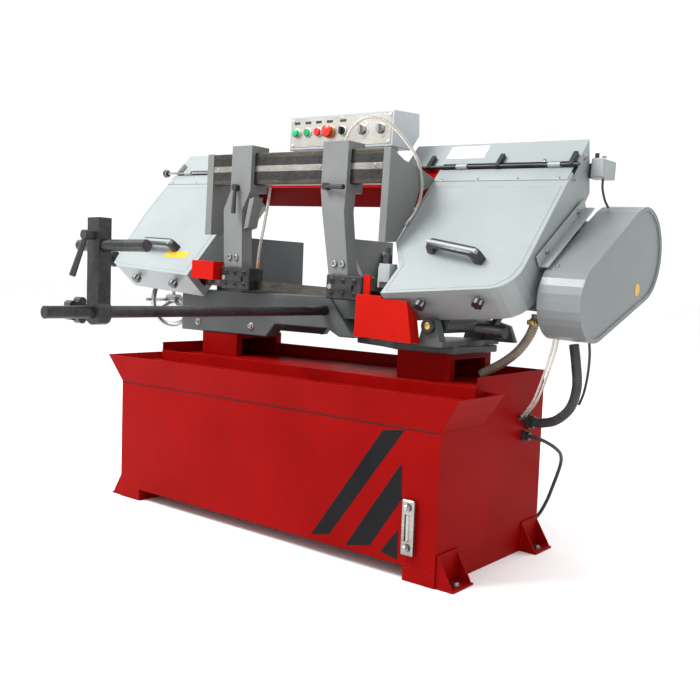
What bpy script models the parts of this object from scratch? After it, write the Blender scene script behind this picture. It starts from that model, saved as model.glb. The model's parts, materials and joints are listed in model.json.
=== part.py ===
"""Horizontal metal-cutting band saw with a swivelling, tilting bow on a coolant cabinet.

Metres, +Z up, +X along the blade towards the drive wheel, -Y towards the operator.
The base is drawn in the machine frame: X from the cabinet's left end, Y from its front
panel, Z from the floor. The bow is drawn level and then tilted about its hinge by
BOW_PITCH. Housings and wheels are drawn in the tilted (x, v, w) frame of the wheel plane:
v runs up the plane, w out of it towards the covers.
"""

import math

import bmesh
import bpy
from mathutils import Matrix, Vector

# ---------------------------------------------------------------- driving dimensions
GAP = 0.0003                    # clearance between touching pieces
SHEET = 0.0025                  # sheet-metal thickness

CAB_L, CAB_W = 1.200, 0.509     # cabinet length and width
SKID_H, SKID_L = 0.035, 0.092   # transverse skids under both ends
CAB_FRONT_Z = 0.3695            # top edge of the front panel
CAB_TOP_Z = 0.4876              # top edge of the end and rear panels
PAN_Y, PAN_FLOOR_Z = 0.157, 0.452
PAN_RIM_Z = 0.462
TRAY_OUT_X, TRAY_OUT_Y = 0.055, 0.014
TRAY_TOP_Z, TRAY_BACK_Y = 0.4505, 0.194
ORIGIN_X, ORIGIN_Y = 0.4585, 0.0775   # centre of the machine's box in the machine frame

CONDUIT_GLAND, MAINS_GLAND = (0.421, 0.354), (0.398, 0.318)   # (y, z) on the right end panel
PED_TOP_Z = 0.525
BED_FRONT_Y, BED_BACK_Y, BED_TOP_Z = 0.285, 0.585, 0.663
JAW_Y0, JAW_Y1, JAW_TOP_Z = 0.295, 0.556, 0.836
FIXED_JAW_X, MOVING_JAW_X = 0.602, 0.250
SCREW_Y, SCREW_Z, SCREW_R = 0.420, 0.617, 0.0110
STOP_PIN_Z, STOP_PIN_R, STOP_LEVER_Z = 0.770, 0.0135, 0.792
HANDWHEEL_X, HANDWHEEL_R = -0.270, 0.092

ROD_X, ROD_Z, ROD_R = 0.592, 0.620, 0.0140
ROD_Y0, ROD_Y1 = -0.640, 0.325
STOP_Y0, STOP_Y1 = -0.520, -0.487

SWIVEL_X, SWIVEL_Y = 0.970, 0.400
HINGE_X, HINGE_Z, PIN_R = 1.000, 0.600, 0.0120
BOW_PITCH = math.radians(1.9)   # the bow rests canted on its stop, its free end higher

BLADE_Y, BLADE_Z = 0.250, 0.6645        # centre line of the cutting run, level bow
BLADE_W, BLADE_T = 0.027, 0.0012
TWIST_X = (0.200, 0.778)        # the blade is upright between these
WHEEL_R, WHEEL_W = 0.200, 0.030
WHEEL_X_IDLE, WHEEL_X_DRIVE = -0.148, 1.036
WHEEL_TILT = math.radians(41.0)
RIM_R = 0.1985
HOUSE_BACK_LEFT, HOUSE_BACK_RIGHT = -0.040, -0.052
HOUSE_FRONT_W, COVER_W = 0.0500, 0.063
HINGE_V, HINGE_W = 0.246, 0.0705        # cover hinge rods
HINGE_PIN_R, HOOD_TOP_V, TENSION_V = 0.0045, 0.352, -0.137

BEAM_Z0, BEAM_Z1 = 0.9755, 1.0715
ARM_Y0, ARM_Y1 = 0.234, 0.278
BRACKET_LEFT, BRACKET_RIGHT = (0.0835, 0.112), (0.800, 0.8235)
GUIDE_Z1 = 0.718
BOX_X0, BOX_X1, BOX_Y, BOX_Z0, BOX_Z1 = 0.279, 0.699, 0.420, 1.103, 1.210
CONTROL_Z = 1.1565

WORM_Y, WORM_Z = 0.387, 0.690           # gearbox input shaft
MOTOR_Y, MOTOR_Z = 0.665, 0.822
GUARD_X0, GUARD_X1 = 1.2750, 1.390
GUARD_R_LOW, GUARD_R_HIGH = 0.100, 0.130

UP = Vector((0.0, math.sin(WHEEL_TILT), math.cos(WHEEL_TILT)))
OUT = Vector((0.0, -math.cos(WHEEL_TILT), math.sin(WHEEL_TILT)))
WHEEL_C = Vector((0.0, BLADE_Y, BLADE_Z)) + WHEEL_R * UP
TILT = Matrix(((1, 0, 0, 0), (0, UP.y, OUT.y, WHEEL_C.y), (0, UP.z, OUT.z, WHEEL_C.z), (0, 0, 0, 1)))


# ---------------------------------------------------------------- materials
def material(name, colour, roughness, metallic=0.0):
    mat = bpy.data.materials.new(name)
    mat.use_nodes = True
    shader = mat.node_tree.nodes["Principled BSDF"]
    shader.inputs["Base Color"].default_value = (*colour, 1.0)
    shader.inputs["Roughness"].default_value = roughness
    shader.inputs["Metallic"].default_value = metallic
    mat.diffuse_color = (*colour, 1.0)
    return mat


def make_materials():
    return {
        "red_paint": material("red_paint", (0.42, 0.012, 0.010), 0.35),
        "grey_paint": material("grey_paint", (0.60, 0.64, 0.64), 0.40),
        "casting": material("casting", (0.30, 0.31, 0.32), 0.55),
        "steel": material("steel", (0.42, 0.40, 0.37), 0.35, 1.0),
        "black_steel": material("black_steel", (0.03, 0.03, 0.03), 0.45, 0.6),
        "black_plastic": material("black_plastic", (0.015, 0.015, 0.016), 0.40),
        "panel": material("panel", (0.50, 0.47, 0.42), 0.35, 0.8),
        "green_plastic": material("green_plastic", (0.0, 0.25, 0.08), 0.35),
        "red_plastic": material("red_plastic", (0.55, 0.03, 0.01), 0.35),
        "rubber": material("rubber", (0.02, 0.02, 0.02), 0.70),
    }


# ---------------------------------------------------------------- mesh helpers
def new_object(name, bm):
    bm.normal_update()
    bmesh.ops.recalc_face_normals(bm, faces=bm.faces)
    mesh = bpy.data.meshes.new(name)
    bm.to_mesh(mesh)
    bm.free()
    obj = bpy.data.objects.new(name, mesh)
    bpy.context.collection.objects.link(obj)
    return obj


def block(lo, hi, name="block"):
    """An axis-aligned box from its lowest to its highest corner."""
    bm = bmesh.new()
    bmesh.ops.create_cube(bm, size=1.0)
    lo, hi = Vector(lo), Vector(hi)
    size = hi - lo
    bmesh.ops.scale(bm, vec=size, verts=bm.verts)
    bmesh.ops.translate(bm, vec=(lo + hi) / 2, verts=bm.verts)
    return new_object(name, bm)


AXES = {"x": (Vector((0, 1, 0)), Vector((0, 0, 1)), Vector((1, 0, 0))),
        "y": (Vector((1, 0, 0)), Vector((0, 0, 1)), Vector((0, 1, 0))),
        "z": (Vector((1, 0, 0)), Vector((0, 1, 0)), Vector((0, 0, 1)))}


def prism(outline, axis, start, end, name="prism"):
    """A polygon, given in the two other axes, extruded along axis."""
    first, second, along = AXES[axis]
    bm = bmesh.new()
    ring = [bm.verts.new(first * a + second * b + along * start) for a, b in outline]
    face = bm.faces.new(ring)
    moved = bmesh.ops.extrude_face_region(bm, geom=[face])
    verts = [v for v in moved["geom"] if isinstance(v, bmesh.types.BMVert)]
    bmesh.ops.translate(bm, vec=along * (end - start), verts=verts)
    return new_object(name, bm)


def rod(start, end, radius, segments=24, name="rod", end_radius=None):
    """A round bar, or a cone, between two points."""
    start, end = Vector(start), Vector(end)
    bm = bmesh.new()
    far = radius if end_radius is None else end_radius
    bmesh.ops.create_cone(bm, cap_ends=True, segments=segments, radius1=radius, radius2=far,
                          depth=(end - start).length)
    turn = (end - start).to_track_quat("Z", "Y").to_matrix().to_4x4()
    bm.transform(Matrix.Translation((start + end) / 2) @ turn)
    return new_object(name, bm)


def turned(profile, segments=40, name="turned"):
    """A closed (radius, height) outline spun about Z; radii on the axis are 0."""
    bm = bmesh.new()
    rings = []
    for radius, height in profile:
        if radius == 0:
            rings.append([bm.verts.new((0, 0, height))])
        else:
            angles = [2 * math.pi * i / segments for i in range(segments)]
            rings.append([bm.verts.new((radius * math.cos(a), radius * math.sin(a), height))
                          for a in angles])
    pairs = list(zip(rings, rings[1:]))
    if profile[0][0] > 0:
        pairs.append((rings[-1], rings[0]))
    for low, high in pairs:
        for i in range(segments):
            j = (i + 1) % segments
            corners = [low[i % len(low)], low[j % len(low)], high[j % len(high)], high[i % len(high)]]
            unique = [c for k, c in enumerate(corners) if c not in corners[:k]]
            if len(unique) > 2:
                bm.faces.new(unique)
    return new_object(name, bm)


def transform(obj, matrix):
    obj.data.transform(matrix)
    if matrix.to_3x3().determinant() < 0:
        obj.data.flip_normals()
    return obj


def boolean(obj, others, operation):
    """Join or cut with the exact solver, and keep the result as plain mesh."""
    for other in others:
        mod = obj.modifiers.new(operation, "BOOLEAN")
        mod.operation = operation
        mod.solver = "EXACT"
        mod.object = other
    bpy.context.view_layer.update()
    graph = bpy.context.evaluated_depsgraph_get()
    mesh = bpy.data.meshes.new_from_object(obj.evaluated_get(graph))
    obj.modifiers.clear()
    old = obj.data
    obj.data = mesh
    bpy.data.meshes.remove(old)
    for other in others:
        bpy.data.objects.remove(other)
    return obj


def union(obj, *others):
    return boolean(obj, others, "UNION")


def cut(obj, *others):
    return boolean(obj, others, "DIFFERENCE")


def bevel(obj, width, segments=1, angle=40):
    """Round every edge that is sharper than angle."""
    bm = bmesh.new()
    bm.from_mesh(obj.data)
    sharp = [e for e in bm.edges if e.is_manifold and e.calc_face_angle() > math.radians(angle)]
    bmesh.ops.bevel(bm, geom=sharp, offset=width, segments=segments, profile=0.5, affect="EDGES",
                    clamp_overlap=True)
    bm.to_mesh(obj.data)
    bm.free()
    return obj


def arc(centre, radius, start_deg, end_deg, steps):
    """Points of an arc in a plane, both ends included."""
    angles = [math.radians(start_deg + (end_deg - start_deg) * i / steps) for i in range(steps + 1)]
    return [(centre[0] + radius * math.cos(a), centre[1] + radius * math.sin(a)) for a in angles]


def belt_outline(c1, r1, c2, r2, steps=12):
    """The outline of a tight belt round two circles."""
    dx, dy = c2[0] - c1[0], c2[1] - c1[1]
    along = math.degrees(math.atan2(dy, dx))
    lean = math.degrees(math.acos((r1 - r2) / math.hypot(dx, dy)))
    first = arc(c1, r1, along + lean, along + 360 - lean, steps)
    second = arc(c2, r2, along - lean, along + lean, steps)
    return first + second


def inset(outline, amount):
    """A convex or mildly bent outline moved inwards by amount."""
    area = sum(a[0] * b[1] - b[0] * a[1] for a, b in zip(outline, outline[1:] + outline[:1]))
    side = 1.0 if area > 0 else -1.0
    moved = []
    for i, point in enumerate(outline):
        before = Vector(point) - Vector(outline[i - 1])
        after = Vector(outline[(i + 1) % len(outline)]) - Vector(point)
        n1 = Vector((-before.y, before.x)).normalized() * side
        n2 = Vector((-after.y, after.x)).normalized() * side
        mitre = (n1 + n2) / (1.0 + n1.dot(n2))
        moved.append(tuple(Vector(point) + mitre * amount))
    return moved


# ---------------------------------------------------------------- kinematic frames
class Pivot:
    """An empty on a joint's axis; its pieces are drawn in the frame of its group."""

    def __init__(self, name, point, parent=None, rotation=None):
        self.point = Vector(point)
        self.empty = bpy.data.objects.new(name, None)
        self.empty.empty_display_size = 0.05
        bpy.context.collection.objects.link(self.empty)
        if parent:
            self.empty.parent = parent.empty
            self.empty.location = self.point - parent.point
        else:
            self.empty.location = Vector((-ORIGIN_X, -ORIGIN_Y, 0.0))
        if rotation:
            self.empty.rotation_euler = rotation

    def add(self, obj, name, mat):
        """Name a piece, paint it, shade it and hang it on this pivot."""
        obj.name = name
        obj.data.name = name
        obj.data.materials.clear()
        obj.data.materials.append(mat)
        obj.data.transform(Matrix.Translation(-self.point))
        obj.data.shade_smooth()
        obj.data.set_sharp_from_angle(angle=math.radians(30))
        obj.parent = self.empty
        return obj


# ---------------------------------------------------------------- cabinet
def cabinet_outline(extra=0.0):
    """The cabinet's end panel in (y, z), moved inwards by extra."""
    low, back = SKID_H + GAP + extra, CAB_W - extra
    step = PAN_Y + extra
    return [(extra, low), (extra, CAB_FRONT_Z), (step, CAB_FRONT_Z), (step, CAB_TOP_Z),
            (back, CAB_TOP_Z), (back, low)]


def build_cabinet():
    shell = prism(cabinet_outline(), "x", 0.0, CAB_L)
    hollow = block((SHEET, SHEET, SKID_H + 0.003), (CAB_L - SHEET, CAB_W - SHEET, 0.6))
    holes = [rod((CAB_L - 0.01, y, z), (CAB_L + 0.01, y, z), 0.0085, 16)
             for y, z in (CONDUIT_GLAND, MAINS_GLAND)]
    return cut(shell, hollow, *holes)


def foot_bracket(x0, side, y0):
    """A gusseted floor plate outside an end panel, with its bolt hole."""
    reach, plate, rise, width, web = 0.050, 0.005, 0.045, 0.090, 0.004

    def span(near, far, y_lo, y_hi, z_lo, z_hi):
        ends = sorted((x0 + side * near, x0 + side * far))
        return block((ends[0], y_lo, z_lo), (ends[1], y_hi, z_hi))

    foot = union(span(0.0, reach, y0, y0 + width, 0.0, plate),
                 span(0.0, web, y0 + 0.001, y0 + width - 0.001, 0.001, SKID_H + rise))
    for y in (y0 + 0.002, y0 + width - web - 0.002):
        gusset = [(x0 + side * 0.001, plate - 0.002), (x0 + side * (reach - 0.004), plate - 0.002),
                  (x0 + side * (reach - 0.010), plate + 0.010), (x0 + side * 0.001,
                                                                 SKID_H + rise - 0.002)]
        foot = union(foot, prism(gusset, "y", y, y + web))
    foot = union(foot, span(-0.002 - GAP, 0.002, y0 + 0.004, y0 + width - 0.004, 0.002, SKID_H - 0.003))
    bolt_x = x0 + side * 0.028
    return cut(foot, rod((bolt_x, y0 + width / 2, -0.01), (bolt_x, y0 + width / 2, 0.02), 0.007, 12))


def build_skid(x0, face_x, side):
    """A cross skid with the two floor brackets outside its end."""
    skid = block((x0, 0.0, 0.0), (x0 + SKID_L, CAB_W, SKID_H))
    brackets = [foot_bracket(face_x + side * GAP, side, y0) for y0 in (0.004, CAB_W - 0.094)]
    return union(skid, *brackets)


def flared_box(ease, low, top):
    """The tray's solid outline: cabinet-sized at the foot, wider at the rim."""
    rings = []
    for z, dx, dy in ((low, 0.0, 0.0), (top, TRAY_OUT_X, TRAY_OUT_Y)):
        x0, x1, y0, y1 = ease - dx, CAB_L - ease + dx, ease - dy, TRAY_BACK_Y - ease
        rings.append([(x0, y0, z), (x1, y0, z), (x1, y1, z), (x0, y1, z)])
    bm = bmesh.new()
    low_ring, top_ring = [[bm.verts.new(p) for p in ring] for ring in rings]
    bm.faces.new(low_ring)
    bm.faces.new(top_ring)
    for i in range(4):
        j = (i + 1) % 4
        bm.faces.new((low_ring[i], low_ring[j], top_ring[j], top_ring[i]))
    return new_object("flared_box", bm)


def build_tray():
    """The drip tray flared round the front, and the chip pan behind it, as one sheet piece."""
    floor_z, foot_z = 0.428, CAB_FRONT_Z + GAP
    tray = flared_box(0.0, foot_z, TRAY_TOP_Z)
    tray = cut(tray, block((-GAP, PAN_Y - GAP, 0.3), (CAB_L + GAP, 0.3, 0.6)))
    inner = flared_box(SHEET, foot_z, TRAY_TOP_Z)
    inner = cut(inner, block((-0.2, -0.2, 0.3), (1.5, 0.4, floor_z)))
    transform(inner, Matrix.Translation((0, 0, 0.0004)))
    under = block((SHEET, SHEET, 0.3), (CAB_L - SHEET, PAN_Y - 0.004, floor_z - SHEET))
    tray = cut(tray, inner, under)
    x0, x1 = SHEET + GAP, CAB_L - SHEET - GAP
    pan = block((x0, PAN_Y - 0.004, PAN_FLOOR_Z - SHEET), (x1, CAB_W - SHEET - GAP, PAN_FLOOR_Z))
    fence = block((x0, PAN_Y - 0.0040, floor_z - SHEET), (x1, PAN_Y - GAP, PAN_RIM_Z))
    return union(tray, pan, fence)


# ---------------------------------------------------------------- base castings
def open_box(lo, hi, opening, wall=0.012):
    """A pedestal: a rectangular post, hollow from its floor, with a window in its right side."""
    box = block(lo, hi)
    hollow = block((lo[0] + wall, lo[1] + wall, lo[2] - 0.01),
                   (hi[0] - wall, hi[1] - wall, hi[2] - wall))
    window = block((hi[0] - 2 * wall, opening[0], lo[2] - 0.01),
                   (hi[0] + 0.01, opening[1], hi[2] - 0.016))
    return cut(box, hollow, window)


def build_bed_pedestal():
    return open_box((0.045, 0.290, PAN_FLOOR_Z + GAP), (0.210, 0.500, PED_TOP_Z), (0.315, 0.475))


def build_turret_pedestal():
    return open_box((0.862, 0.285, PAN_FLOOR_Z + GAP), (1.035, 0.500, PED_TOP_Z), (0.310, 0.470))


def build_swivel_base():
    outline = [(0.862, 0.278), (1.055, 0.278), (1.055, 0.500), (0.640, 0.500), (0.640, 0.380),
               (0.775, 0.330)]
    plate = bevel(prism(outline, "z", PED_TOP_Z + GAP, 0.545), 0.003)
    return plate


def build_bed():
    """The vise bed: a hollow casting with a slot along its top for the jaw's nut."""
    low = PED_TOP_Z + GAP
    foot = 0.545 + GAP
    outline = [(-0.060, low), (0.347, low), (0.384, 0.567), (0.600, 0.567), (0.645, foot), (0.702, foot),
               (0.600, BED_TOP_Z), (-0.060, BED_TOP_Z)]
    bed = bevel(prism(outline, "y", BED_FRONT_Y, BED_BACK_Y), 0.003)
    seat = block((0.580, 0.300, 0.600), (0.706, BED_BACK_Y - 0.002, BED_TOP_Z))
    hollow = block((-0.045, 0.300, 0.5), (0.335, 0.570, 0.648))
    far = block((0.330, 0.335, 0.5), (0.560, 0.560, 0.648))
    slot = block((-0.030, SCREW_Y - 0.0155, 0.60), (0.560, SCREW_Y + 0.0155, 0.70))
    screw_hole = rod((-0.1, SCREW_Y, SCREW_Z), (0.0, SCREW_Y, SCREW_Z), SCREW_R + 0.0006, 24)
    rod_hole = rod((ROD_X, 0.2, ROD_Z), (ROD_X, ROD_Y1 + GAP, ROD_Z), ROD_R + GAP, 24)
    return cut(union(bed, seat), hollow, far, slot, screw_hole, rod_hole)


def jaw(face_x, back_x, rib_x, base_z):
    """A clamping plate with two triangular ribs behind it."""
    plate = block((min(face_x, back_x), JAW_Y0, base_z), (max(face_x, back_x), JAW_Y1, JAW_TOP_Z))
    inside = back_x + (0.001 if face_x > back_x else -0.001)
    for y in (JAW_Y0 + 0.040, JAW_Y1 - 0.058):
        rib = [(inside, base_z), (rib_x, base_z), (rib_x, base_z + 0.020), (inside, JAW_TOP_Z - 0.030)]
        plate = union(plate, prism(rib, "y", y, y + 0.018))
    return plate


def build_fixed_jaw():
    base = BED_TOP_Z + GAP
    return jaw(FIXED_JAW_X, FIXED_JAW_X + 0.030, FIXED_JAW_X + 0.098, base)


def build_moving_jaw():
    """The sliding jaw, with its sole plate, tongue and nut in one casting."""
    base = BED_TOP_Z + GAP
    plate = jaw(MOVING_JAW_X, MOVING_JAW_X - 0.028, 0.100, base)
    sole = block((0.070, JAW_Y0 + 0.030, base), (MOVING_JAW_X - 0.001, JAW_Y1 - 0.030, base + 0.020))
    tongue = block((0.110, SCREW_Y - 0.015, SCREW_Z - 0.022), (0.170, SCREW_Y + 0.015, base + 0.001))
    return cut(union(plate, sole, tongue),
               rod((0.0, SCREW_Y, SCREW_Z), (0.3, SCREW_Y, SCREW_Z), SCREW_R + 0.0006, 24))


def along_x(obj, x, y, z):
    """Lay a piece turned about Z along the X axis, at a point."""
    return transform(obj, Matrix.Translation((x, y, z)) @ Matrix.Rotation(math.radians(90), 4, "Y"))


def build_handwheel():
    """Rim, three spokes, hub, lever handle and the vise screw, which turn as one."""
    ring = [(HANDWHEEL_R + 0.009 * math.cos(a), 0.009 * math.sin(a))
            for a in (math.radians(45 * i) for i in range(8))]
    rim = along_x(turned(ring, 36), HANDWHEEL_X, SCREW_Y, SCREW_Z)
    hub = rod((HANDWHEEL_X - 0.024, SCREW_Y, SCREW_Z), (HANDWHEEL_X + 0.030, SCREW_Y, SCREW_Z), 0.021,
              24)
    screw = rod((HANDWHEEL_X, SCREW_Y, SCREW_Z), (0.480, SCREW_Y, SCREW_Z), SCREW_R, 24)
    parts = [hub, screw]
    for i in range(3):
        a = math.radians(90 + 120 * i)
        tip = (HANDWHEEL_X, SCREW_Y + HANDWHEEL_R * math.cos(a), SCREW_Z + HANDWHEEL_R * math.sin(a))
        parts.append(rod((HANDWHEEL_X, SCREW_Y, SCREW_Z), tip, 0.007, 12))
    parts.append(rod((HANDWHEEL_X - 0.016, SCREW_Y - 0.110, SCREW_Z),
                     (HANDWHEEL_X - 0.016, SCREW_Y + 0.110, SCREW_Z),
                     0.006, 12))
    return union(rim, *parts)


def build_stop_rod():
    return rod((ROD_X, ROD_Y0, ROD_Z), (ROD_X, ROD_Y1, ROD_Z), ROD_R, 32)


def build_stop_bracket():
    """The upright stop bar with its split boss on the rod."""
    x0, x1 = ROD_X - 0.022, ROD_X + 0.022
    bar = block((x0, STOP_Y0, 0.598), (x1, STOP_Y1, 0.832))
    boss = rod((ROD_X, STOP_Y0, ROD_Z), (ROD_X, STOP_Y1, ROD_Z), 0.029, 32)
    bar = union(bar, boss)
    mid = (STOP_Y0 + STOP_Y1) / 2
    return cut(bar, rod((ROD_X, -0.6, ROD_Z), (ROD_X, -0.4, ROD_Z), ROD_R + 0.0005, 32),
               rod((0.5, mid, STOP_PIN_Z), (0.7, mid, STOP_PIN_Z), STOP_PIN_R + 0.0005, 24))


def build_stop_pin():
    mid = (STOP_Y0 + STOP_Y1) / 2
    return bevel(rod((ROD_X - 0.075, mid, STOP_PIN_Z), (ROD_X + 0.172, mid, STOP_PIN_Z), STOP_PIN_R, 24),
                 0.0015)


def build_stop_clamp_lever():
    """Hub on the bar's front, with a hanging ball-ended handle."""
    y = STOP_Y0 - GAP
    hub = rod((ROD_X, y, STOP_LEVER_Z), (ROD_X, y - 0.026, STOP_LEVER_Z), 0.011, 20)
    arm = rod((ROD_X, y - 0.018, STOP_LEVER_Z), (ROD_X - 0.028, y - 0.034, 0.700), 0.0055, 16,
              end_radius=0.0075)
    return union(hub, arm)


def build_stop_star_knob():
    """A five-lobed clamping knob on a stud, left of the boss."""
    x = ROD_X - 0.029 - 0.0005
    stem = rod((x, (STOP_Y0 + STOP_Y1) / 2, ROD_Z), (x - 0.055, (STOP_Y0 + STOP_Y1) / 2, ROD_Z), 0.006,
               16)
    core = rod((x - 0.040, (STOP_Y0 + STOP_Y1) / 2, ROD_Z), (x - 0.068, (STOP_Y0 + STOP_Y1) / 2, ROD_Z),
               0.022, 24)
    lobes = []
    for i in range(5):
        a = math.radians(72 * i)
        y, z = (STOP_Y0 + STOP_Y1) / 2 + 0.022 * math.cos(a), ROD_Z + 0.022 * math.sin(a)
        lobes.append(rod((x - 0.042, y, z), (x - 0.066, y, z), 0.010, 16))
    return union(core, stem, *lobes)


def build_level_gauge():
    tube = block((1.108, -0.014, 0.066), (1.143, -GAP, 0.200))
    screws = [rod((1.1255, -0.018, z), (1.1255, -0.010, z), 0.007, 12) for z in (0.084, 0.182)]
    window = block((1.118, -0.02, 0.101), (1.133, -0.008, 0.165))
    return cut(union(bevel(tube, 0.003), *screws), window)


def build_gland(place, ring, nut):
    y, z = place
    return union(rod((CAB_L + GAP, y, z), (CAB_L + 0.010, y, z), nut, 6),
                 rod((CAB_L + 0.009, y, z), (CAB_L + 0.022, y, z), ring, 20))


# ---------------------------------------------------------------- swivel turret
def ear(y0, y1, radius, base):
    """A pivot cheek standing on the turret, round about the hinge pin."""
    foot = [(HINGE_X - 0.034, base), (HINGE_X + 0.034, base)]
    crown = arc((HINGE_X, HINGE_Z), radius, 15, 165, 8)
    return prism(foot + crown, "y", y0, y1)


def build_turret():
    low, top = 0.545 + GAP, 0.560
    disc = rod((SWIVEL_X, SWIVEL_Y, low), (SWIVEL_X, SWIVEL_Y, top), 0.085, 48)
    beam = block((0.957, 0.232, low), (1.043, 0.526, top))
    cheeks = [ear(0.232, 0.262, 0.020, top - 0.002), ear(0.500, 0.526, 0.022, top - 0.002)]
    turret = union(disc, beam, *cheeks)
    return cut(turret, rod((HINGE_X, 0.2, HINGE_Z), (HINGE_X, 0.6, HINGE_Z), PIN_R + GAP, 32))


def build_hinge_pin():
    pin = rod((HINGE_X, 0.2260, HINGE_Z), (HINGE_X, 0.530, HINGE_Z), PIN_R, 32)
    head = rod((HINGE_X, 0.222, HINGE_Z), (HINGE_X, 0.2317, HINGE_Z), 0.020, 32)
    return union(pin, head)


def build_feed_cylinder():
    """The damper that sets the feed, on a strut from the gearbox."""
    y, z = 0.300, 0.600
    barrel = bevel(rod((1.105, y, z), (1.190, y, z), 0.0165, 28), 0.002)
    return union(barrel, prism([(0.295, 0.605), (0.310, 0.595), (0.371, 0.6585), (0.3575, 0.6705)], "x",
                               1.138, 1.152))


# ---------------------------------------------------------------- wheel housings and covers
LEFT_OUTLINE = [(-0.299, -0.219), (-0.335, -0.206), (-0.364, -0.083), (-0.382, 0.036), (-0.382, 0.232),
                (0.083, 0.232), (0.083, -0.235)]
RIGHT_CORNER = [(1.170 + 0.080 * math.cos(math.radians(a)), -0.115 + 0.080 * math.sin(math.radians(a)))
                for a in range(0, -81, -16)]
RIGHT_OUTLINE = [(0.872, -0.238), (0.881, -0.139), (0.824, -0.053), (0.824, 0.222), (1.250, 0.222),
                 *RIGHT_CORNER]


def tilted(obj):
    """Move a piece drawn in (x, v, w) into the level bow."""
    return transform(obj, TILT)


def hood(x0, x1, back_w, base_v, shrink=0.0):
    """The roof over a wheel in (v, w): upright front, sloping top."""
    outline = [(base_v, COVER_W - shrink), (HOOD_TOP_V - shrink * 1.6, COVER_W - shrink),
               (0.265 - shrink * 0.5, back_w + shrink), (base_v, back_w + shrink)]
    return prism(outline, "x", x0 + shrink, x1 - shrink)


def build_housing(outline, back_w, hood_x, hood_base):
    """An open-fronted wheel box with its hood; the blade passes through its inner side."""
    shell = prism(outline, "z", back_w, HOUSE_FRONT_W)
    inner = prism(inset(outline, SHEET), "z", back_w + SHEET, 0.2)
    top = max(v for _, v in outline)
    link_x = (min(x for x, _ in outline), max(x for x, _ in outline))
    link = block((link_x[0], top - 0.01, back_w), (link_x[1], hood_base + 0.002, HOUSE_FRONT_W))
    link_inner = block((link_x[0] + SHEET, top - 0.03, back_w + SHEET),
                       (link_x[1] - SHEET, hood_base + 0.01, 0.2))
    roof = hood(*hood_x, back_w, hood_base)
    roof_inner = hood(*hood_x, back_w, hood_base - 0.004, SHEET)
    shell = union(shell, link, roof)
    ports = [block((0.06, v - 0.010, -0.0195), (0.90, v + 0.010, 0.0195)) for v in (-WHEEL_R, WHEEL_R)]
    return cut(shell, inner, link_inner, roof_inner, *ports)


def axle(x, back_w):
    """A wheel's shaft with its boss and nut, on the back of the housing."""
    stub = rod((x, 0, back_w + 0.001), (x, 0, 0.034), 0.0115, 24)
    boss = rod((x, 0, back_w + 0.001), (x, 0, -0.0305), 0.026, 24)
    nut = rod((x, 0, 0.0225), (x, 0, 0.032), 0.019, 6)
    return union(stub, boss, nut)


def latch_knob(x, v):
    """A star knob on a stud that holds the lid's lower edge."""
    stem = rod((x, v + 0.004, 0.030), (x, v - 0.012, 0.030), 0.004, 12)
    return union(stem, bevel(rod((x, v - 0.010, 0.030), (x, v - 0.026, 0.030), 0.014, 10), 0.002))


def build_left_housing():
    shell = build_housing(LEFT_OUTLINE, HOUSE_BACK_LEFT, (-0.382, 0.083), 0.256)
    collar = prism([(-0.3415, -0.1665), (-0.3558, -0.0995), (-0.3840, -0.1050), (-0.3700, -0.1720)],
                   "z", -0.024, 0.024)
    knobs = [latch_knob(-0.204, -0.2229), latch_knob(-0.002, -0.2313)]
    return tilted(union(shell, collar, axle(WHEEL_X_IDLE, HOUSE_BACK_LEFT), *knobs))


def build_right_housing():
    shell = build_housing(RIGHT_OUTLINE, HOUSE_BACK_RIGHT, (0.690, 1.250), 0.257)
    knobs = [latch_knob(0.985, -0.2222), latch_knob(1.150, -0.1990)]
    return tilted(union(shell, axle(WHEEL_X_DRIVE, HOUSE_BACK_RIGHT), *knobs))


def strap_handle(p0, p1, rise=0.036, radius=0.0065):
    """A bow handle standing on the cover between two feet, in (x, v, w)."""
    feet = [Vector((*p0, COVER_W - 0.001)), Vector((*p1, COVER_W - 0.001))]
    tops = [Vector((*p0, COVER_W + rise)), Vector((*p1, COVER_W + rise))]
    along = (tops[1] - tops[0]).normalized() * radius
    legs = [rod(feet[i], tops[i] + Vector((0, 0, radius * 0.6)), radius, 16) for i in (0, 1)]
    bar = rod(tops[0] - along, tops[1] + along, radius, 16)
    return union(bar, *legs)


def build_cover(outline, x_span, handle):
    """A shallow lid with turned edges, hinge knuckles and its handle."""
    rim_w = HOUSE_FRONT_W + GAP
    lid = prism(outline, "z", rim_w, COVER_W)
    lid = cut(lid, prism(inset(outline, SHEET), "z", rim_w - 0.01, COVER_W - SHEET))
    knuckles = []
    for share in (0.14, 0.82):
        x = x_span[0] + share * (x_span[1] - x_span[0])
        barrel = rod((x, HINGE_V, HINGE_W), (x + 0.036, HINGE_V, HINGE_W), HINGE_PIN_R + 0.0028, 20)
        leaf = block((x, 0.200, COVER_W - 0.001), (x + 0.036, HINGE_V - 0.002, COVER_W + 0.002))
        knuckles.append(union(barrel, leaf))
    lid = union(lid, strap_handle(*handle), *knuckles)
    bore = rod((x_span[0] - 0.05, HINGE_V, HINGE_W), (x_span[1] + 0.05, HINGE_V, HINGE_W),
               HINGE_PIN_R + 0.0004, 20)
    return tilted(cut(lid, bore))


def build_left_cover():
    return build_cover(LEFT_OUTLINE, (-0.382, 0.083), ((-0.211, -0.124), (-0.063, -0.126)))


def build_right_cover():
    return build_cover(RIGHT_OUTLINE, (0.824, 1.250), ((0.964, -0.078), (1.116, -0.105)))


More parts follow.
